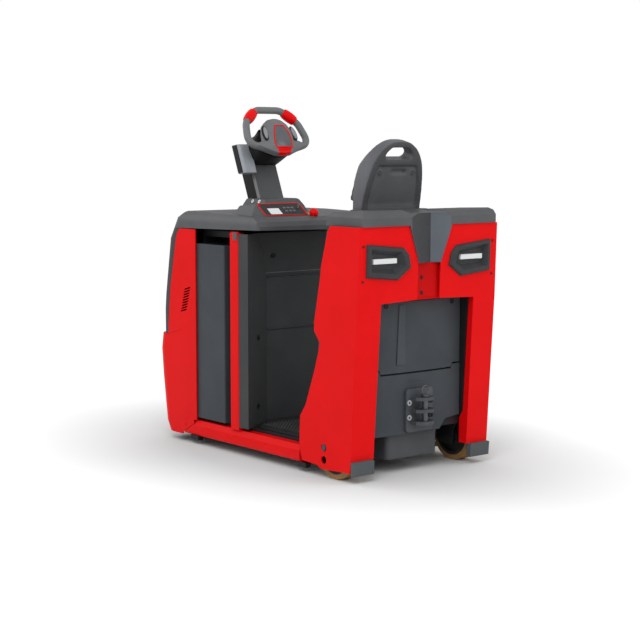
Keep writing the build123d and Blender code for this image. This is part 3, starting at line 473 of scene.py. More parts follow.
# Wheels: cast iron hubs with a sunk web and cast polyurethane treads, one steered and driven in front, two
# behind on stubs. Five nuts hold each rear hub.
tan_tread = finish(
    "tan_polyurethane", (142, 106, 62), (166, 126, 78), 0.50, 0.08, 300, 0.0005, mottle=14, shine=0.3
)
for tyre_node in ("drive_tyre", "rear_tyre_left", "rear_tyre_right"):
    dress(tyre_node, tan_tread)
dress("drive_hub", cast_iron)
hub_black = finish("hub_black", (30, 31, 32), (40, 41, 42), 0.60, 0.08, 300, 0.0006, shine=0.3)
nut_circle = 0.042
web_sink = 0.014
for side, sign in (("left", 1), ("right", -1)):
    dress("rear_hub_" + side, hub_black)
    hub_low, hub_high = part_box("rear_hub_" + side)
    hub_middle = (hub_low + hub_high) / 2
    web_y = (hub_high.y - web_sink) if sign > 0 else (hub_low.y + web_sink)
    nut_spots = [
        ((hub_middle.x + nut_circle * cos(turn), web_y, hub_middle.z + nut_circle * sin(turn)), (0, sign, 0))
        for turn in (step * 2 * pi / 5 for step in range(5))
    ]
    fasteners(
        "wheel_nuts_" + side, nut_spots, black_screw, "hub_iron", "rear_wheel_" + side,
        radius=0.009, height=0.016,
    )

# Battery: a steel case in blue-grey enamel that slides in on two rails, between red posts and dark bulkheads.
# A small grey catch on top of each rear post holds it in.
blue_grey = enamel("blue_grey_enamel", (63, 68, 73), (71, 76, 81), 0.50, 0.22)
skin("battery", "battery_case", blue_grey, "grey_paint", edge=0.003)
bay = rounded(cad_shape("battery_frame"), black_enamel, edge=0.0015)
bay.materials.append(red_enamel)
bay_low, bay_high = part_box("battery_frame")
post_face = bay_high.y - 0.0365
post_cap = bay_high.z - 0.0008
for face in bay.polygons:
    if abs(face.center.y) > post_face and face.center.z < post_cap:
        face.material_index = 1
add_piece("bay_frame", bay, "machine", "black_paint", "battery_frame")
catch_grey = finish("catch_grey", (84, 86, 90), (98, 100, 104), 0.45, 0.05, 500, 0.0002, shine=0.3)
catch_w, catch_h, catch_t = 0.030, 0.034, 0.005
catch_x = bay_low.x + 0.019
catch_z = bay_high.z - 0.021
catches = []
for side in (1, -1):
    catch_place = flat_place((catch_x, side * bay_high.y, catch_z), (-side, 0, 0), (0, 0, 1))
    catches.append(rounded(slab(box_outline(catch_w, catch_h), 0, catch_t, catch_place), catch_grey))
add_piece("battery_catches", gathered(catches), "machine", "grey_moulding")


# Footwell: a dark moulded front wall with two beads, a painted highlight on the upper one, the knee panel
# behind it and a rubber mat on the deck. Push-in clips hold the wall; the mat's tread is rows of low studs.
def moulded(name, dark, light, roughness, shine, grain=1100):
    """A moulded plastic with a fine cell grain, that many cells to a metre."""
    return finish(name, dark, light, roughness, 0.05, grain, 0.0003, cells=True, shine=shine)


def rod(points, radius, material, closed=False, rings=6):
    """Round bar of that radius through the points."""
    curve = bpy.data.curves.new("rod", "CURVE")
    curve.dimensions = "3D"
    curve.bevel_depth = radius
    curve.bevel_resolution = rings
    curve.use_fill_caps = True
    run = curve.splines.new("POLY")
    run.points.add(len(points) - 1)
    for spot, point in zip(run.points, points):
        spot.co = (*point, 1)
    run.use_cyclic_u = closed
    mesh = painted(plain_mesh(new_object("holder", curve)), material)
    mesh.set_sharp_from_angle(angle=radians(50))
    return mesh


def faces_of(mesh):
    """The mesh's faces, for finding where a line meets them."""
    return BVHTree.FromPolygons([v.co for v in mesh.vertices], [face.vertices for face in mesh.polygons])


dark_moulding = moulded("dark_moulding", (44, 45, 46), (52, 53, 54), 0.58, 0.3, 1000)
wall_moulding = moulded("wall_moulding", (60, 62, 63), (68, 70, 71), 0.60, 0.3, 1000)
mat_rubber = finish("mat_rubber", (34, 35, 36), (46, 47, 48), 0.72, 0.08, 700, 0.0004, shine=0.3)
stud_rubber = finish("stud_rubber", (60, 61, 62), (80, 81, 82), 0.55, 0.06, 700, 0.0003, shine=0.4)
wall = skin("footwell_wall", "front_wall", wall_moulding, "dark_moulding", edge=0.004)
skin("knee_panel", "knee_moulding", dark_moulding, "dark_moulding", edge=0.004, corner=12)
dress("floor_mat", mat_rubber)
clip_pairs = (
    ((0.1013, 0.1784, 0.8971), (-0.964, 0, -0.268)),
    ((0.0647, 0.2913, 0.5317), (-0.855, -0.518, 0)),
    ((0.0628, 0.2944, 0.2200), (-0.855, -0.518, 0)),
)
clip_spots = [
    ((x, side * y, z), (back, side * across, down)) for (x, y, z), (back, across, down) in clip_pairs
    for side in (1, -1)
]
fasteners("wall_clips", clip_spots, black_screw, "black_paint", radius=0.0125, height=0.007, socket=0.45)
# The lighter rod laid along the upper bead is a painted highlight where its top edge catches the light.
bead_painted_highlight = moulded("bead_painted_highlight", (92, 93, 94), (104, 105, 106), 0.50, 0.35, 1000)
bead_r = 0.0032
bead_half = 0.212
bead_level = 0.819
bead_sink = Vector((0.0005, 0, 0))
bead_steps = 40
behind_wall = -0.2
wall_faces = faces_of(wall.data)
bead_points = []
for step in range(bead_steps + 1):
    bead_y = -bead_half + 2 * bead_half * step / bead_steps
    hit = wall_faces.ray_cast(Vector((behind_wall, bead_y, bead_level)), Vector((1, 0, 0)))[0]
    bead_points.append(hit + bead_sink)
add_piece("wall_bead_highlight", rod(bead_points, bead_r, bead_painted_highlight, rings=3), "machine", "dark_moulding")
tread_tree = bpy.data.node_groups.new("mat_tread", "GeometryNodeTree")
tread_sockets = named_inputs(
    tread_tree, ("Mesh", "Geometry", None), ("Length", "Float", 0.3), ("Width", "Float", 0.3),
    ("Rows", "Int", 10), ("Columns", "Int", 10), ("Middle", "Vector", None), ("Radius", "Float", 0.006),
    ("Height", "Float", 0.0016), ("Paint", "Material", None),
)
tread_in = tread_tree.nodes.new("NodeGroupInput")
tread_out = tread_tree.nodes.new("NodeGroupOutput")
grid = node_in(tread_tree, "GeometryNodeMeshGrid")
shift = node_in(tread_tree, "GeometryNodeSetPosition")
stud = node_in(tread_tree, "GeometryNodeMeshCone", Vertices=6)
tip_size = node_in(tread_tree, "ShaderNodeMath", operation="MULTIPLY")
tip_size.inputs[1].default_value = 0.62
studs = node_in(tread_tree, "GeometryNodeInstanceOnPoints")
studs_real = node_in(tread_tree, "GeometryNodeRealizeInstances")
studs_paint = node_in(tread_tree, "GeometryNodeSetMaterial")
join(
    tread_tree,
    (tread_in.outputs["Length"], grid.inputs["Size X"]),
    (tread_in.outputs["Width"], grid.inputs["Size Y"]),
    (tread_in.outputs["Rows"], grid.inputs["Vertices X"]),
    (tread_in.outputs["Columns"], grid.inputs["Vertices Y"]),
    (grid.outputs["Mesh"], shift.inputs["Geometry"]),
    (tread_in.outputs["Middle"], shift.inputs["Offset"]),
    (tread_in.outputs["Radius"], stud.inputs["Radius Bottom"]),
    (tread_in.outputs["Radius"], tip_size.inputs[0]),
    (tip_size.outputs[0], stud.inputs["Radius Top"]),
    (tread_in.outputs["Height"], stud.inputs["Depth"]),
    (shift.outputs["Geometry"], studs.inputs["Points"]),
    (stud.outputs["Mesh"], studs.inputs["Instance"]),
    (studs.outputs["Instances"], studs_real.inputs["Geometry"]),
    (studs_real.outputs["Geometry"], studs_paint.inputs["Geometry"]),
    (tread_in.outputs["Paint"], studs_paint.inputs["Material"]),
    (studs_paint.outputs["Geometry"], tread_out.inputs["Mesh"]),
)
mat_low, mat_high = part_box("floor_mat")
stud_pitch = 0.020
margin_l = 0.13
margin_w = 0.09
tread_l = mat_high.x - mat_low.x - margin_l
tread_w = mat_high.y - mat_low.y - margin_w
tread_settings = {
    "Length": tread_l, "Width": tread_w,
    "Rows": int(tread_l / stud_pitch) + 1, "Columns": int(tread_w / stud_pitch) + 1,
    "Middle": ((mat_low.x + mat_high.x) / 2 - 0.02, 0, mat_high.z), "Radius": 0.0065, "Height": 0.0018,
    "Paint": stud_rubber,
}
bare_point = bpy.data.meshes.new("bare")
bare_point.from_pydata([(0, 0, 0)], [], [])
mat_tread = run_tree(tread_tree, tread_sockets, bare_point, tread_settings)
add_piece("mat_studs", mat_tread, "machine", "mat_rubber")

# Front body: the red fenders and the bumper are one welded skin in enamelled sheet, open only at a short
# slanting slit above the bumper. The moulded nose fills the middle and the hood sits on all of them. The
# hood's lower edge climbs a little towards its rear left corner.
hood_moulding = moulded("hood_moulding", (82, 83, 86), (92, 93, 96), 0.50, 0.35, 1200)
nose_moulding = moulded("nose_moulding", (58, 59, 62), (66, 67, 70), 0.54, 0.3, 1200)


def welded(first, *others):
    """The shape of several CAD nodes that touch, made one."""
    whole = cad_shape(first)
    for node in others:
        other = new_object("other", cad_shape(node))
        whole = worked(whole, ("BOOLEAN", {"operation": "UNION", "solver": "EXACT", "object": other}))
        bpy.data.objects.remove(other)
    shell = bmesh.new()
    shell.from_mesh(whole)
    bmesh.ops.remove_doubles(shell, verts=shell.verts, dist=0.00005)
    bmesh.ops.dissolve_limit(shell, angle_limit=radians(1.0), verts=shell.verts, edges=shell.edges)
    shell.to_mesh(whole)
    shell.free()
    return whole


skin_nodes = ("front_bumper", "front_fender_left", "front_fender_right")
front_skin = rounded(welded(*skin_nodes), red_enamel, edge=0.002, corner=30)
add_piece("front_skin", front_skin, "machine", "red_paint", *skin_nodes)
skin("nose_panel", "nose_moulding", nose_moulding, "hood_moulding", edge=0.0025)
hood_shape = cad_shape("front_hood")
hood_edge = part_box("front_hood")[0].z + 0.003
hood_raise = 0.011
climb_from = 0.16
climb_run = 0.10
for vert in hood_shape.vertices:
    if vert.co.z < hood_edge and vert.co.x < climb_from and vert.co.y > 0:
        vert.co.z += hood_raise * min(1.0, (climb_from - vert.co.x) / climb_run)
hood_shape = rounded(hood_shape, hood_moulding, edge=0.010, corner=9, rings=4)
add_piece("hood_skin", hood_shape, "machine", "hood_moulding", "front_hood")

# Rear body: side panels of red enamelled sheet, folded round to the lamp panels, the cross beam bolted
# between them, and grey feet under the legs. Black screws hold the lamps, and a cap closes one hole a side.
for side in ("left", "right"):
    skin("rear_side_" + side, "side_panel_" + side, red_enamel, "red_paint", edge=0.0025)
beam_red = enamel("beam_red", (203, 8, 11), (212, 12, 15), 0.48, 0.08)
skin("rear_crossbeam", "cross_beam", beam_red, "red_paint", edge=0.002)
foot_grey = finish("foot_grey", (78, 83, 85), (88, 93, 95), 0.58, 0.06, 700, 0.0004, shine=0.3)
skin("foot_blocks", "leg_feet", foot_grey, "grey_moulding", edge=0.003)
panel_top = 1.064
panel_back = -0.757
panel_lean = 0.0318
lamp_screw_spots = [
    ((panel_back + panel_lean * (panel_top - z), side * y, z), (-1, 0, -0.032))
    for side in (1, -1) for y, z in ((0.3685, 0.9855), (0.3690, 0.8420))
]
fasteners("lamp_screws", lamp_screw_spots, black_screw, "black_paint", radius=0.0052, height=0.004)
beam_bolt_places = ((-0.7289, 0.0270, 0.8440), (-0.7288, 0.0267, 0.7790))
beam_bolt_spots = [(place, (-0.99, 0.141, 0)) for place in beam_bolt_places]
fasteners("beam_bolts", beam_bolt_spots, black_screw, "black_paint", radius=0.0085, height=0.006)
panel_low, panel_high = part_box("rear_side_left")
cap_x = panel_low.x + 0.233
cap_y = panel_high.y - 0.003
cap_z = 0.130
cap_spots = [((cap_x, side * cap_y, cap_z), (0, side, 0)) for side in (1, -1)]
fasteners("hole_caps", cap_spots, foot_grey, "grey_moulding", radius=0.0168, height=0.004, socket=0.72)


# Lamps: each is a moulded frame, sunk in the panel, with sloping inner walls and a white light bar across it.
# The frames are six-sided, like the holes that they fill.
def lofted(rings, place):
    """Closed shape over a row of rings with equally many points each."""
    shell = bmesh.new()
    loops = [[shell.verts.new(point) for point in ring] for ring in rings]
    for low, high in zip(loops, loops[1:]):
        for i in range(len(low)):
            j = (i + 1) % len(low)
            shell.faces.new((low[i], low[j], high[j], high[i]))
    shell.faces.new(loops[0])
    shell.faces.new(loops[-1])
    bmesh.ops.recalc_face_normals(shell, faces=shell.faces)
    bmesh.ops.transform(shell, matrix=place, verts=shell.verts)
    return mesh_of(shell)


bezel_grey = moulded("bezel_grey", (50, 51, 53), (60, 61, 63), 0.46, 0.35, 900)
lamp_white = finish("lamp_white", (236, 237, 238), (246, 247, 247), 0.24, 0.03, 200, 0.0002)

# Each ring: how far it is sunk in the panel, and its corners in millimetres across and down the panel.
lamp_rings = (
    (0.026, [(340, 82), (340, 194), (187, 209), (126, 167), (134, 129), (157, 102)]),
    (0.0, [(353, 69), (353, 208), (180, 225), (108, 174), (120, 119), (150, 89)]),
    (-0.005, [(352, 70), (352, 207), (181, 224), (109, 173), (121, 120), (151, 90)]),
    (-0.013, [(346, 76), (346, 201), (184, 217), (116, 171), (127, 123), (154, 96)]),
    (-0.013, [(334, 89), (332, 186), (190, 200), (142, 167), (151, 129), (167, 107)]),
    (0.014, [(318, 108), (318, 168), (198, 177), (166, 159), (171, 141), (180, 125)]),
    (0.014, [(316, 110), (316, 166), (200, 175), (168, 158), (173, 142), (182, 127)]),
)
lamp_place = flat_place((panel_back, 0, panel_top), (0, -1, 0), (-panel_lean, 0, 1))
for side, sign, lamp_nodes in (("left", 1, ("lamp_bezels",)), ("right", -1, ())):
    rings = [[(-sign * y / 1000, -down / 1000, -sunk) for y, down in corners] for sunk, corners in lamp_rings]
    lamp_mesh = rounded(lofted(rings, lamp_place), bezel_grey, edge=0.0042, corner=20)
    add_piece("lamp_frame_" + side, lamp_mesh, "machine", "dark_moulding", *lamp_nodes)
skin("lamp_bars", "lamp_lenses", lamp_white, "lamp_white", edge=0.003)

# Rear hood and covers: a moulded top with a shallow valley down its rear, one facet painted light, one shade,
# and below it two enamelled covers with a stepped seam. Black fasteners hold the upper one's corners.
rear_hood = cad_shape("rear_hood")
crease_depth = 0.020
crease_right = 0.026
for vert in rear_hood.vertices:
    if abs(vert.co.y) < 0.001 and vert.co.x < -0.735 and vert.co.z < 1.130:
        vert.co.x += crease_depth
        vert.co.y -= crease_right
rear_hood = rounded(rear_hood, hood_moulding, edge=0.007, corner=7, rings=4)
# The valley's facets are painted: the one facing left a painted highlight, the other painted shade.
valley_painted_highlight = moulded("valley_painted_highlight", (90, 97, 105), (100, 107, 115), 0.44, 0.45, 1200)
valley_painted_shade = moulded("valley_painted_shade", (62, 63, 66), (70, 71, 74), 0.54, 0.3, 1200)
rear_hood.materials.append(valley_painted_highlight)
rear_hood.materials.append(valley_painted_shade)
valley_half = 0.13
for face in rear_hood.polygons:
    in_valley = face.center.x < -0.70 and abs(face.center.y) < valley_half
    if in_valley and face.normal.x < -0.5 and abs(face.normal.y) > 0.10:
        face.material_index = 1 if face.normal.y > 0 else 2
add_piece("rear_hood_skin", rear_hood, "machine", "hood_moulding", "rear_hood")
skin("motor_cover", "upper_cover", blue_grey, "grey_paint", edge=0.003, corner=12)
lower_cover = cad_shape("lower_cover")
seam_from = 0.425
seam_gap = 0.003
for vert in lower_cover.vertices:
    if vert.co.z > seam_from:
        vert.co.z -= seam_gap
lower_cover = rounded(lower_cover, blue_grey, edge=0.002, corner=12)
add_piece("lower_plate", lower_cover, "machine", "grey_paint", "lower_cover")
cover_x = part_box("motor_cover")[0].x
swage_paint = enamel("swage_paint", (67, 72, 77), (75, 80, 85), 0.46, 0.25)
swage_place = flat_place((cover_x + 0.0040, 0.044, 0.600), (0.062, -0.998, 0), (0, 0, 1))
swage_outline = [(-0.078, -0.128), (0.073, -0.128), (0.071, 0.128), (-0.064, 0.128)]
swage = rounded(slab(swage_outline, -0.002, 0.0022, swage_place), swage_paint)
add_piece("cover_swage", swage, "machine", "grey_paint")
cover_bolt_spots = [
    ((cover_x + 0.0062, 0.1776, 0.7250), (-0.998, 0.062, 0)),
    ((cover_x + 0.0078, -0.2042, 0.7250), (-0.998, -0.062, 0)),
]
fasteners("cover_bolts", cover_bolt_spots, black_screw, "black_paint", radius=0.0105, height=0.007)
rib_place = flat_place((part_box("lower_cover")[0].x, 0.020, 0.402), (0, -1, 0), (0, 0, 1))
rib = rounded(slab(box_outline(0.074, 0.009), -0.001, 0.0016, rib_place), blue_grey, edge=0.0008)
add_piece("cover_rib", rib, "machine", "grey_paint")

# Tow coupling: a cast block of three jaw plates bolted to the tow plate, with a turned pin that lifts out by
# its ring. Two bright bolts hold the block on its left, and two black ones on its right.
coupling_iron = finish(
    "coupling_iron", (72, 76, 81), (88, 92, 97), 0.50, 0.08, 320, 0.0006, metallic=0.2, shine=0.4
)
pin_steel = finish("pin_steel", (92, 94, 97), (116, 118, 121), 0.36, 0.06, 500, 0.0002, metallic=0.7)
bolt_steel = finish("bolt_steel", (196, 197, 199), (216, 217, 219), 0.34, 0.05, 500, 0.0002, metallic=0.5)
skin("tow_coupling", "coupling_jaws", coupling_iron, "coupling_iron", edge=0.003)


def lathe(profile, place, material, steps=40):
    """Turned piece: profile is (radius, height) from one pole to the other, round the place's third axis."""
    shell = bmesh.new()
    around = [(cos(2 * pi * i / steps), sin(2 * pi * i / steps)) for i in range(steps)]
    rings = []
    for radius, height in profile:
        ring = around if radius else [(0, 0)]
        rings.append([shell.verts.new((radius * u, radius * v, height)) for u, v in ring])
    for low, high in zip(rings, rings[1:]):
        for i in range(steps):
            corners = [low[i % len(low)], low[(i + 1) % len(low)]]
            corners += [high[(i + 1) % len(high)], high[i % len(high)]]
            shell.faces.new(list(dict.fromkeys(corners)))
    bmesh.ops.transform(shell, matrix=place, verts=shell.verts)
    bmesh.ops.recalc_face_normals(shell, faces=shell.faces)
    mesh = painted(mesh_of(shell), material)
    mesh.set_sharp_from_angle(angle=radians(34))
    return mesh


pin_low, pin_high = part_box("coupling_pin")
pin_x = (pin_low.x + pin_high.x) / 2
pin_r = 0.012
pin_head_r = (pin_high.x - pin_low.x) / 2
pin_head_low = pin_high.z - 0.010
pin_place = Matrix.Translation((pin_x, 0, 0))
pin = lathe(
    [(0, pin_low.z), (pin_r - 0.004, pin_low.z), (pin_r, pin_low.z + 0.004), (pin_r, pin_head_low),
     (pin_head_r - 0.001, pin_head_low), (pin_head_r, pin_head_low + 0.0015),
     (pin_head_r, pin_high.z - 0.003), (pin_head_r - 0.003, pin_high.z), (0, pin_high.z)],
    pin_place, pin_steel,
)
ring_r = 0.020
ring_z = pin_high.z + ring_r * 0.92
ring_steps = 40
ring_turns = [2 * pi * i / ring_steps for i in range(ring_steps)]
ring_points = [(pin_x, ring_r * cos(turn), ring_z + ring_r * sin(turn)) for turn in ring_turns]
ring = rod(ring_points, 0.0028, pin_steel, closed=True)
add_piece("coupling_pin_turned", gathered([pin, ring]), "lift_pin", "bright_steel", "coupling_pin")
bolt_x = -0.697
bolt_levels = (0.3080, 0.2440)
for bolt_name, bolt_y, bolt_paint, bolt_slot in (
    ("coupling_bolts", 0.0625, bolt_steel, "bright_steel"),
    ("coupling_bolts_right", -0.0625, black_screw, "black_paint"),
):
    bolt_spots = [((bolt_x, bolt_y, level), (-1, 0, 0)) for level in bolt_levels]
    fasteners(bolt_name, bolt_spots, bolt_paint, bolt_slot, radius=0.0115, height=0.011, socket=0.55)


# Backrest: an arched moulded shell with a grab handle, screwed to the rear hood through its sunk panel, and a
# foam cushion in a sewn cover. The cover swells between its piped edge and a seam across the middle.
def cast_whole(grain):
    """The step that makes one even skin of a shape, or of several that overlap."""
    return "REMESH", {"mode": "VOXEL", "voxel_size": grain, "use_smooth_shade": True}


def smoothed(factor, rounds):
    """The step that smooths a skin."""
    return "SMOOTH", {"factor": factor, "iterations": rounds}


back_moulding = moulded("back_moulding", (84, 85, 87), (94, 95, 97), 0.52, 0.35)
# The flank moulding is the back moulding painted lighter, a painted highlight on the flanks.
flank_painted_highlight = moulded("flank_painted_highlight", (90, 91, 95), (102, 103, 107), 0.46, 0.4)
rim_moulding = moulded("rim_moulding", (70, 71, 73), (78, 79, 81), 0.52, 0.35)
back_lean = radians(14)
back_base = 1.123
back_x = -0.506
back_forward = 0.012
back_place = flat_place((back_x, 0, back_base), (0, -1, 0), (-sin(back_lean), 0, cos(back_lean)))
back_inverse = back_place.inverted()
back_out = back_place.to_3x3() @ Vector((0, 0, 1))
node_inverse = (Matrix.Translation((-back_forward, 0, 0)) @ back_place).inverted()
arch_middle = Vector((0, 0.105))
arch_half = [
    (0.172, -0.030), (0.170, -0.014), (0.165, 0.070), (0.153, 0.150), (0.136, 0.208), (0.110, 0.250),
    (0.080, 0.276), (0.038, 0.294),
]
arch = [(-u, v) for u, v in arch_half] + list(reversed(arch_half))


def through_points(points, steps=12):
    """Smooth curve through the points."""
    curve = []
    for i in range(1, len(points) - 2):
        four = [Vector((*points[i + k], 0)) for k in (-1, 0, 1, 2)]
        for step in range(steps):
            t = step / steps
            curve.append(0.5 * (
                2 * four[1] + (four[2] - four[0]) * t
                + (2 * four[0] - 5 * four[1] + 4 * four[2] - four[3]) * t * t
                + (3 * four[1] - four[0] - 3 * four[2] + four[3]) * t ** 3
            ))
    return curve


def sector(spot, count=720):
    """Which of evenly spaced directions a place lies in."""
    return int((spot.angle_signed(Vector((0, -1))) + pi) / (2 * pi) * count) % count


def reaches(points, middle, count=720, steps=24):
    """Distance from the middle to a path, for evenly spaced directions."""
    table = [0.0] * count
    for first, second in zip(points, points[1:]):
        for step in range(steps):
            spot = Vector(first[:2]).lerp(Vector(second[:2]), step / steps) - middle
            table[sector(spot, count)] = spot.length
    last = max(table)
    for i in range(count):
        last = table[i] = table[i] or last
    return table


# The node's straight-sided arch is drawn out to a smooth one; its back swells by rows of height and factor.
flat_reach = reaches(arch, arch_middle)
round_reach = reaches(through_points(arch), arch_middle)
swell_rows = ((-0.05, 1.25), (0.0, 1.30), (0.10, 1.85), (0.17, 1.90), (0.24, 1.40), (0.31, 1.10))
swell_below = -0.016
core_r = 0.01
back_grain = 0.0036
back_mesh = worked(cad_shape("backrest_shell"), cast_whole(back_grain))
for vert in back_mesh.vertices:
    place = node_inverse @ vert.co
    spot = place.xy - arch_middle
    if spot.length > core_r and place.y > 0:
        at = sector(spot)
        share = min(1.0, spot.length / flat_reach[at])
        spot *= 1 + (round_reach[at] / flat_reach[at] - 1) * share ** 3
    depth = place.z
    if depth < swell_below:
        for (v0, f0), (v1, f1) in zip(swell_rows, swell_rows[1:]):
            if v0 <= place.y <= v1:
                depth *= f0 + (f1 - f0) * (place.y - v0) / (v1 - v0)
    spot += arch_middle
    vert.co = back_place @ Vector((spot.x, spot.y, depth))
back_mesh = worked(back_mesh, cast_whole(back_grain), smoothed(0.5, 14))
base_reach = 0.030
base_drop = 0.016
for vert in back_mesh.vertices:
    rise = vert.co.z - back_base
    if rise < base_reach:
        vert.co.z -= base_drop * (1 - rise / base_reach)
# The flanks are painted lighter as a painted highlight, and the rim round the sunk panel is a little darker.
painted(back_mesh, back_moulding, flank_painted_highlight, rim_moulding)
for face in back_mesh.polygons:
    facing = back_inverse.to_3x3() @ face.normal
    if facing.z < 0.55 and abs(facing.z) < 0.8 and facing.y > -0.5:
        face.material_index = 1
    elif facing.z > 0.55 and (back_inverse @ face.center).z > -0.006:
        face.material_index = 2
add_piece("backrest_moulding", back_mesh, "machine", "hood_moulding", "backrest_shell")
back_screw_spots = [(back_place @ Vector((side * 0.094, 0.160, -0.011)), back_out) for side in (1, -1)]
fasteners("backrest_screws", back_screw_spots, black_screw, "black_paint", radius=0.0088, height=0.007)
cushion_cover = finish(
    "cushion_cover", (74, 75, 79), (86, 87, 91), 0.60, 0.06, 1500, 0.0004, cells=True, shine=0.35
)
piping_cover = finish(
    "piping_cover", (40, 41, 43), (48, 49, 51), 0.55, 0.06, 1500, 0.0003, cells=True, shine=0.3
)
pad_forward = 0.020
pad_back = -0.048 - pad_forward
pad_held = pad_back - 0.011
pad_front = pad_back - 0.020
pad_mesh = cad_shape("backrest_cushion")
for vert in pad_mesh.vertices:
    vert.co -= back_out * pad_forward - Vector((back_forward, 0, 0))
pad_mesh = worked(pad_mesh, cast_whole(0.005), ("DISPLACE", {"strength": -0.0045, "mid_level": 0.0}))
painted(pad_mesh, cushion_cover)
pad_start = [vert.co.copy() for vert in pad_mesh.vertices]
swell_frames = 20
swell_cap = 0.0085
pad = new_object("pad", pad_mesh)
held = pad.vertex_groups.new(name="held")
resting = [v.index for v in pad_mesh.vertices if (back_inverse @ v.co).z > pad_held]
held.add(resting, 1.0, "REPLACE")
swell = pad.modifiers.new("swell", "CLOTH")
swell.settings.use_pressure = True
swell.settings.uniform_pressure_force = 4.0
swell.settings.vertex_group_mass = "held"
swell.settings.effector_weights.gravity = 0.0
swell.settings.quality = 6
swell.point_cache.frame_start = 1
swell.point_cache.frame_end = swell_frames
for moment in range(1, swell_frames + 1):
    scene.frame_set(moment)
swollen = bpy.data.meshes.new_from_object(pad.evaluated_get(bpy.context.evaluated_depsgraph_get()))
for vert, start in zip(swollen.vertices, pad_start):
    step = vert.co - start
    if step.length > swell_cap:
        vert.co = start + step.normalized() * swell_cap
bpy.data.objects.remove(pad)
scene.frame_set(1)
pad_mesh = swollen
seam_line = 0.118
seam_depth = 0.0045
seam_reach = 0.016
for vert in pad_mesh.vertices:
    place = back_inverse @ vert.co
    away = abs(place.y - seam_line)
    if away < seam_reach and place.z < pad_front:
        vert.co += back_place.to_3x3() @ Vector((0, 0, seam_depth * (1 - away / seam_reach) ** 1.5))
pad_mesh = worked(pad_mesh, smoothed(0.5, 3), ("SUBSURF", {"levels": 1, "render_levels": 1}))
pad_mesh.shade_smooth()
cushion = add_piece("back_cushion", pad_mesh, "machine", "cushion_cover", "backrest_cushion")
pad_faces = faces_of(pad_mesh)
pad_centre = Vector((*arch_middle, pad_back - 0.026))
clear_of_pad = 0.4
piping_steps = 96
piping_points = []
for step in range(piping_steps):
    angle = 2 * pi * step / piping_steps
    outward = Vector((cos(angle), sin(angle), 0))
    start = back_place @ (pad_centre + outward * clear_of_pad)
    piping_points.append(pad_faces.ray_cast(start, back_place.to_3x3() @ -outward)[0])
piping = rod(piping_points, 0.0024, piping_cover, closed=True, rings=3)
add_piece("cushion_piping", piping, "machine", "cushion_cover")

# Steering column: a hollow moulded column on a flared foot with two bright screws, a control box on its left
# side and the dark funnel of the head on top, which stays behind the hand wheel's plane.
column_moulding = moulded("column_moulding", (78, 80, 83), (88, 90, 93), 0.52, 0.4)
funnel_black = moulded("funnel_black", (28, 28, 29), (36, 36, 37), 0.58, 0.25)
# The box's light grey is partly its own colour and partly a painted highlight.
box_grey_and_highlight = moulded("box_grey_and_highlight", (158, 163, 169), (172, 177, 183), 0.48, 0.4)
column_bevel_highlight = finish("column_bevel_highlight", (118, 118, 121), (132, 132, 135), 0.42, 0.04, 1100, 0.0002, shine=0.45)


def lit_and_shaded(node, name, lit_paint, shaded_paint, highlight_paint, **rounding):
    """A moulding with painted shade darkening its side shells against its rear, and a painted highlight on
    the bevel between them.
    """
    mesh = rounded(cad_shape(node), lit_paint, **rounding)
    mesh.materials.append(shaded_paint)
    mesh.materials.append(highlight_paint)
    for face in mesh.polygons:
        if abs(face.normal.y) > 0.86 or face.normal.y < -0.35:
            face.material_index = 1
        elif abs(face.normal.y) > 0.45 and face.normal.x < 0 and face.area > 0.0004:
            face.material_index = 2
    return add_piece(name, mesh, "machine", "dark_moulding", node)


# The column's and the box's side shells carry painted shade, and the column's bevel a painted highlight.
lit_and_shaded("steering_column", "column_moulding", column_moulding, funnel_black, column_bevel_highlight, edge=0.004)
foot_levels = (
    (1.070, (0.215, 0.450), (-0.135, 0.125)),
    (1.118, (0.236, 0.430), (-0.116, 0.112)),
    (1.150, (0.262, 0.412), (-0.100, 0.100)),
)
foot_rings = [
    [(rear, right, level), (front, right, level), (front, left, level), (rear, left, level)]
    for level, (rear, front), (right, left) in foot_levels
]
foot_mesh = rounded(lofted(foot_rings, Matrix.Identity(4)), hood_moulding, edge=0.010, corner=12, rings=4)
add_piece("column_foot", foot_mesh, "machine", "dark_moulding")
foot_screw_spots = [((x, 0.1040, 1.136), (0, 0.9, 0.43)) for x in (0.300, 0.352)]
fasteners("column_foot_screws", foot_screw_spots, bolt_steel, "bright_steel", radius=0.0085, height=0.007)
lit_and_shaded("column_box", "side_box", box_grey_and_highlight, funnel_black, box_grey_and_highlight, edge=0.006)
wheel_middle = Vector((0.330, 0, 1.482))
wheel_tilt = radians(30)
wheel_place = flat_place(wheel_middle, (0, -1, 0), (sin(wheel_tilt), 0, cos(wheel_tilt)))
wheel_inverse = wheel_place.inverted()
mouth_half_w, mouth_half_h = 0.112, 0.070
mouth_v = -0.072
mouth_depth = -0.034
mouth_steps = 24
funnel = bmesh.new()
for step in range(mouth_steps):
    angle = 2 * pi * step / mouth_steps
    mouth_point = Vector((mouth_half_w * cos(angle), mouth_v + mouth_half_h * sin(angle), mouth_depth))
    funnel.verts.new(wheel_place @ mouth_point)
throat_half_w = 0.074
for throat_x, throat_z in ((0.405, 1.310), (0.500, 1.345), (0.470, 1.420), (0.415, 1.300)):
    for throat_y in (-throat_half_w, throat_half_w):
        funnel.verts.new((throat_x, throat_y, throat_z))
bmesh.ops.convex_hull(funnel, input=funnel.verts)
bmesh.ops.delete(funnel, geom=[v for v in funnel.verts if not v.link_faces], context="VERTS")
bmesh.ops.recalc_face_normals(funnel, faces=funnel.faces)
head_raw = cad_shape("steering_head")
funnel.from_mesh(head_raw)
head_mesh = worked(mesh_of(funnel), cast_whole(0.004))
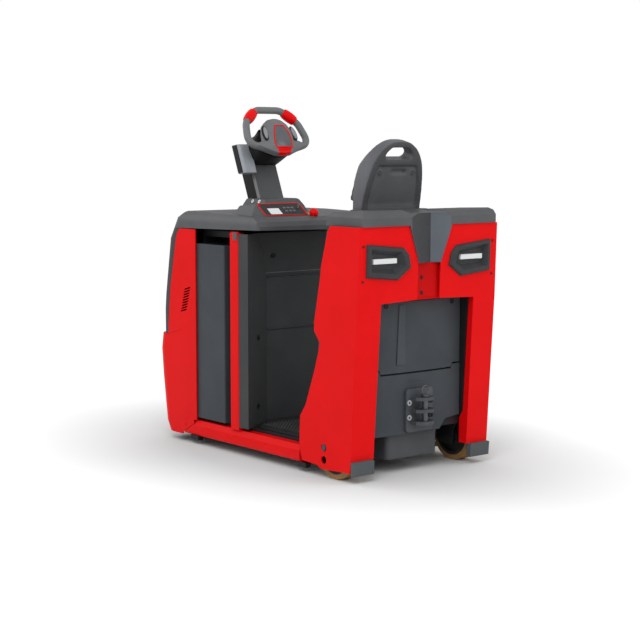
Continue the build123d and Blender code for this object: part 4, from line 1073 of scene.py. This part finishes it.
# The head's face is cut to one slope, and kept clear of what the hand wheel sweeps.
slope_point = Vector((0.337, 0, 1.488))
slope_facing = Vector((0.683, 0, 0.731)).normalized()
sweep_depth = -0.032
sweep_inner = 0.088
for vert in head_mesh.vertices:
    over = (vert.co - slope_point).dot(slope_facing)
    if over > 0:
        vert.co -= slope_facing * over
    place = wheel_inverse @ vert.co
    if place.z > sweep_depth and place.xy.length > sweep_inner:
        vert.co = wheel_place @ Vector((place.x, place.y, sweep_depth))
head_mesh = painted(worked(head_mesh, smoothed(0.5, 14)), funnel_black)
add_piece("head_funnel", head_mesh, "machine", "dark_moulding", "steering_head")

# Hand wheel: one soft moulding, a bent tube whose lower arms run into a domed hub. Red sleeves sit on its
# upper corners, and the hub carries a red-framed display over a red piece, with a thumb paddle at each side.
wheel_rubber = moulded("wheel_rubber", (112, 114, 116), (124, 126, 128), 0.50, 0.4)
red_plastic = finish("red_plastic", (242, 4, 8), (250, 8, 12), 0.38, 0.04, 900, 0.0002, shine=0.14)
display_grey = finish("display_grey", (92, 94, 98), (104, 106, 110), 0.22, 0.03, 500, 0.0001, shine=0.5)
paddle_grey = finish("paddle_grey", (146, 147, 152), (160, 161, 166), 0.42, 0.04, 900, 0.0002, shine=0.4)
tube_r = 0.0172
loop_half = [(0.074, 0.092), (0.152, 0.022), (0.180, -0.088), (0.050, -0.124)]


def bent(points, radius, steps=9):
    """Path through the points with its inner corners rounded."""
    path = [Vector(points[0])]
    for before, corner, after in zip(points, points[1:], points[2:]):
        before, corner, after = Vector(before), Vector(corner), Vector(after)
        to_before = (before - corner).normalized()
        to_after = (after - corner).normalized()
        half = to_before.angle(to_after) / 2
        reach = radius / abs(sin(half) / cos(half))
        reach = min(reach, 0.46 * min((before - corner).length, (after - corner).length))
        start = corner + to_before * reach
        end = corner + to_after * reach
        for step in range(steps + 1):
            t = step / steps
            path.append(start * (1 - t) ** 2 + corner * 2 * t * (1 - t) + end * t ** 2)
    path.append(Vector(points[-1]))
    return path


def egg(place, half_sizes, segments):
    """Ball stretched to those half sizes, in its place."""
    ball = bmesh.new()
    bmesh.ops.create_uvsphere(ball, u_segments=segments, v_segments=segments // 2, radius=1.0)
    bmesh.ops.transform(ball, matrix=place @ Matrix.Diagonal((*half_sizes, 1)), verts=ball.verts)
    return mesh_of(ball)


loop_points = [(-u, v) for u, v in reversed(loop_half)] + loop_half
loop_bend = 0.072
loop_bent = bent([(*point, 0) for point in loop_points], loop_bend)
loop_path = [wheel_place @ Vector((point.x, point.y, 0)) for point in loop_bent]
hub_half = [
    (0, 0.034), (0.040, 0.028), (0.068, 0.004), (0.082, -0.036), (0.092, -0.078), (0.132, -0.094),
    (0.140, -0.108), (0.092, -0.128), (0.044, -0.148), (0, -0.151),
]
hub_outline = hub_half + [(-u, v) for u, v in reversed(hub_half[1:-1])]
hub_domes = (
    ((0, -0.052, 0.020), (0.078, 0.086, 0.026)),
    ((0, -0.105, 0.014), (0.110, 0.040, 0.020)),
)
wheel_lump = bmesh.new()
wheel_lump.from_mesh(rod(loop_path, tube_r, wheel_rubber))
wheel_lump.from_mesh(slab(hub_outline, -0.014, 0.022, wheel_place))
for middle, half_sizes in hub_domes:
    wheel_lump.from_mesh(egg(wheel_place @ Matrix.Translation(middle), half_sizes, 48))
wheel_mesh = worked(mesh_of(wheel_lump), cast_whole(0.0028), smoothed(0.6, 12))
painted(wheel_mesh, wheel_rubber, display_grey, red_plastic)


def inside(outline, u, v):
    """Whether a point lies in a closed outline."""
    odd = False
    for (u0, v0), (u1, v1) in zip(outline, outline[1:] + outline[:1]):
        if (v0 > v) != (v1 > v) and u < u0 + (v - v0) * (u1 - u0) / (v1 - v0):
            odd = not odd
    return odd


def mirrored(half):
    """Whole outline from its right half."""
    return half + [(-u, v) for u, v in reversed(half)]


display = mirrored([(0.024, -0.014), (0.043, -0.054), (0.050, -0.096), (0.044, -0.124)])
tongue = mirrored([(0.044, -0.124), (0.034, -0.145), (0.033, -0.158)])
tongue_back = -0.004
for face in wheel_mesh.polygons:
    place = wheel_inverse @ face.center
    normal = wheel_inverse.to_3x3() @ face.normal
    if normal.z > 0.15 and inside(display, place.x, place.y):
        face.material_index = 1
    elif normal.z > -0.35 and place.z > tongue_back and inside(tongue, place.x, place.y):
        face.material_index = 2
add_piece("wheel_moulding", wheel_mesh, "hand_wheel", "hood_moulding", "steering_wheel")
wheel_faces = faces_of(wheel_mesh)


def on_wheel(u, v, lift=0.0):
    """Point of the hub's face under a place on the wheel's plane, lifted off it."""
    start = wheel_place @ Vector((u, v, 0.2))
    hit, normal = wheel_faces.ray_cast(start, wheel_place.to_3x3() @ Vector((0, 0, -1)))[:2]
    return hit + normal * lift


def along(outline, gap=0.003):
    """Points on the hub's face along a closed outline, about a gap apart."""
    points = []
    for (u0, v0), (u1, v1) in zip(outline, outline[1:] + outline[:1]):
        steps = max(2, ceil(sqrt((u1 - u0) ** 2 + (v1 - v0) ** 2) / gap))
        for i in range(steps):
            points.append(on_wheel(u0 + (u1 - u0) * i / steps, v0 + (v1 - v0) * i / steps, 0.0002))
    return points


frame_bar = rod(along(display), 0.0030, red_plastic, closed=True, rings=3)
add_piece("display_frame", frame_bar, "hand_wheel", "red_plastic")
sleeve_half = 0.036
sleeve_profile = [
    (0.0168, -sleeve_half), (0.0214, -sleeve_half + 0.0015), (0.0242, -0.020), (0.0254, 0), (0.0242, 0.020),
    (0.0214, sleeve_half - 0.0015), (0.0168, sleeve_half),
]
(upper_u, upper_v), (lower_u, lower_v) = loop_half[:2]
sleeves = []
for side in (1, -1):
    lower = Vector((side * lower_u, lower_v, 0))
    upper = Vector((side * upper_u, upper_v, 0))
    run = (upper - lower).normalized()
    ahead = Vector((0, 0, 1))
    sleeve_place = wheel_place @ flat_place((lower + upper) / 2, ahead, run.cross(ahead))
    sleeves.append(lathe(sleeve_profile, sleeve_place, red_plastic))
add_piece("wheel_sleeves", gathered(sleeves), "hand_wheel", "red_plastic")
paddle_u, paddle_v, paddle_out = 0.083, -0.048, 0.026
paddle_splay = 6
paddle_halves = (0.0135, 0.034, 0.014)
surround_halves = (0.0175, 0.039, 0.0090)
paddles = []
surrounds = []
for side in (1, -1):
    paddle_middle = wheel_place @ Vector((side * paddle_u, paddle_v, paddle_out))
    turn = Matrix.Rotation(radians(paddle_splay * side), 4, "Z")
    paddle_place = Matrix.Translation(paddle_middle) @ wheel_place.to_3x3().to_4x4() @ turn
    paddles.append(painted(egg(paddle_place, paddle_halves, 24), paddle_grey))
    surrounds.append(painted(egg(paddle_place, surround_halves, 24), funnel_black))
add_piece("thumb_paddles", gathered(paddles), "hand_wheel", "grey_moulding")
add_piece("paddle_surrounds", gathered(surrounds), "hand_wheel", "dark_moulding")

# Console and emergency stop: a sloping panel on the hood in a thin red frame, with a small white screen, keys
# and a short lever, and beside its rear edge the red mushroom button in its yellow collar.
console_grey = finish("console_grey", (40, 41, 42), (48, 49, 50), 0.48, 0.05, 900, 0.0002, shine=0.35)
screen_white = finish("screen_white", (240, 244, 246), (248, 250, 251), 0.2, 0.03, 400, 0.0001)
key_grey = finish("key_grey", (96, 98, 100), (112, 114, 116), 0.45, 0.05, 600, 0.0002)
stop_yellow = finish("stop_yellow", (226, 178, 24), (238, 192, 34), 0.42, 0.05, 500, 0.0002, shine=0.3)
console_right, console_left = 0.050, 0.294
console_rear, console_rear_top = 0.000, 1.0805
console_crest, console_crest_top = 0.076, 1.1360
console_front, console_front_top = 0.215, console_crest_top - 0.012
console_flank = 0.026
console_toe = 0.006
console_taper = 0.01
hood_level = 1.074
shell = bmesh.new()
top = [shell.verts.new(place) for place in (
    (console_rear, console_left, console_rear_top),
    (console_rear, console_right, console_rear_top),
    (console_crest, console_right, console_crest_top),
    (console_front, console_right + console_taper, console_front_top),
    (console_front, console_left - console_taper, console_front_top),
    (console_crest, console_left, console_crest_top),
)]
base = [shell.verts.new((x, y, hood_level)) for x, y in (
    (console_rear - console_toe, console_left + console_toe),
    (console_rear - console_toe, console_right - console_toe),
    (console_crest, console_right - console_flank),
    (console_front + console_taper, console_right - console_flank),
    (console_front + console_taper, console_left + console_flank),
    (console_crest, console_left + console_flank),
)]
shell.faces.new((top[0], top[1], top[2], top[5]))
shell.faces.new((top[5], top[2], top[3], top[4]))
for i in range(6):
    j = (i + 1) % 6
    shell.faces.new((top[i], top[j], base[j], base[i]))
shell.faces.new(list(reversed(base)))
bmesh.ops.recalc_face_normals(shell, faces=shell.faces)
console_mesh = rounded(mesh_of(shell), hood_moulding, edge=0.006, corner=12, rings=4)
add_piece("console_body", console_mesh, "machine", "dark_moulding", "console")
slope = Vector((console_crest - console_rear, 0, console_crest_top - console_rear_top))
slope_middle = (
    (console_rear + console_crest) / 2, (console_right + console_left) / 2,
    (console_rear_top + console_crest_top) / 2,
)
console_place = flat_place(slope_middle, (0, -1, 0), slope)
panel_w = console_left - console_right - 0.008
panel_h = slope.length - 0.010
panel = rounded(slab(box_outline(panel_w, panel_h), -0.002, 0.0012, console_place), console_grey, edge=0.001)
add_piece("console_panel", panel, "machine", "dark_moulding")
rim_points = []
rim_r = 0.008
for u, v, start in ((1, 1, 0), (-1, 1, 90), (-1, -1, 180), (1, -1, 270)):
    for step in range(7):
        angle = radians(start + 15 * step)
        across = u * (panel_w / 2 - rim_r) + rim_r * cos(angle)
        up = v * (panel_h / 2 - rim_r) + rim_r * sin(angle)
        rim_points.append(console_place @ Vector((across, up, 0.0014)))
console_rim = rod(rim_points, 0.0022, red_plastic, closed=True, rings=3)
add_piece("console_frame", console_rim, "machine", "red_plastic")
screen_outline = box_outline(0.064, 0.042, (-0.050, -0.012))
screen = rounded(slab(screen_outline, 0, 0.0022, console_place), screen_white, edge=0.0006)
key_w, key_h, key_t = 0.015, 0.012, 0.0036
key_pitch = 0.022
keys = []
for column in range(3):
    for row in range(2):
        key_outline = box_outline(key_w, key_h, (0.016 + key_pitch * column, -0.012 + key_pitch * row))
        keys.append(rounded(slab(key_outline, 0, key_t, console_place), key_grey))
lever_foot = console_place @ Vector((0.092, 0.004, 0.002))
lever_tip = console_place @ Vector((0.096, 0.022, 0.026))
lever = rod([lever_foot, lever_tip], 0.0042, key_grey)
add_piece("console_screen", screen, "machine", "lamp_white")
add_piece("console_keys", gathered(keys + [lever]), "machine", "grey_moulding")
stop_tilt = radians(50)
stop_place = flat_place((0.008, 0.030, 1.075), (0, -1, 0), (cos(stop_tilt), 0, sin(stop_tilt)))
collar = lathe(
    [(0, -0.024), (0.0165, -0.024), (0.0175, -0.006), (0.0185, -0.004), (0.0188, 0.004), (0.0175, 0.006),
     (0, 0.006)],
    stop_place, stop_yellow,
)
button = lathe(
    [(0, 0.006), (0.0110, 0.006), (0.0115, 0.0135), (0.0180, 0.0165), (0.0206, 0.0225), (0.0210, 0.0285),
     (0.0196, 0.0350), (0.0160, 0.0405), (0.0100, 0.0440), (0.0040, 0.0454), (0, 0.0455)],
    stop_place, red_plastic,
)
add_piece("stop_assembly", gathered([collar, button]), "machine", "red_plastic", "stop_button")
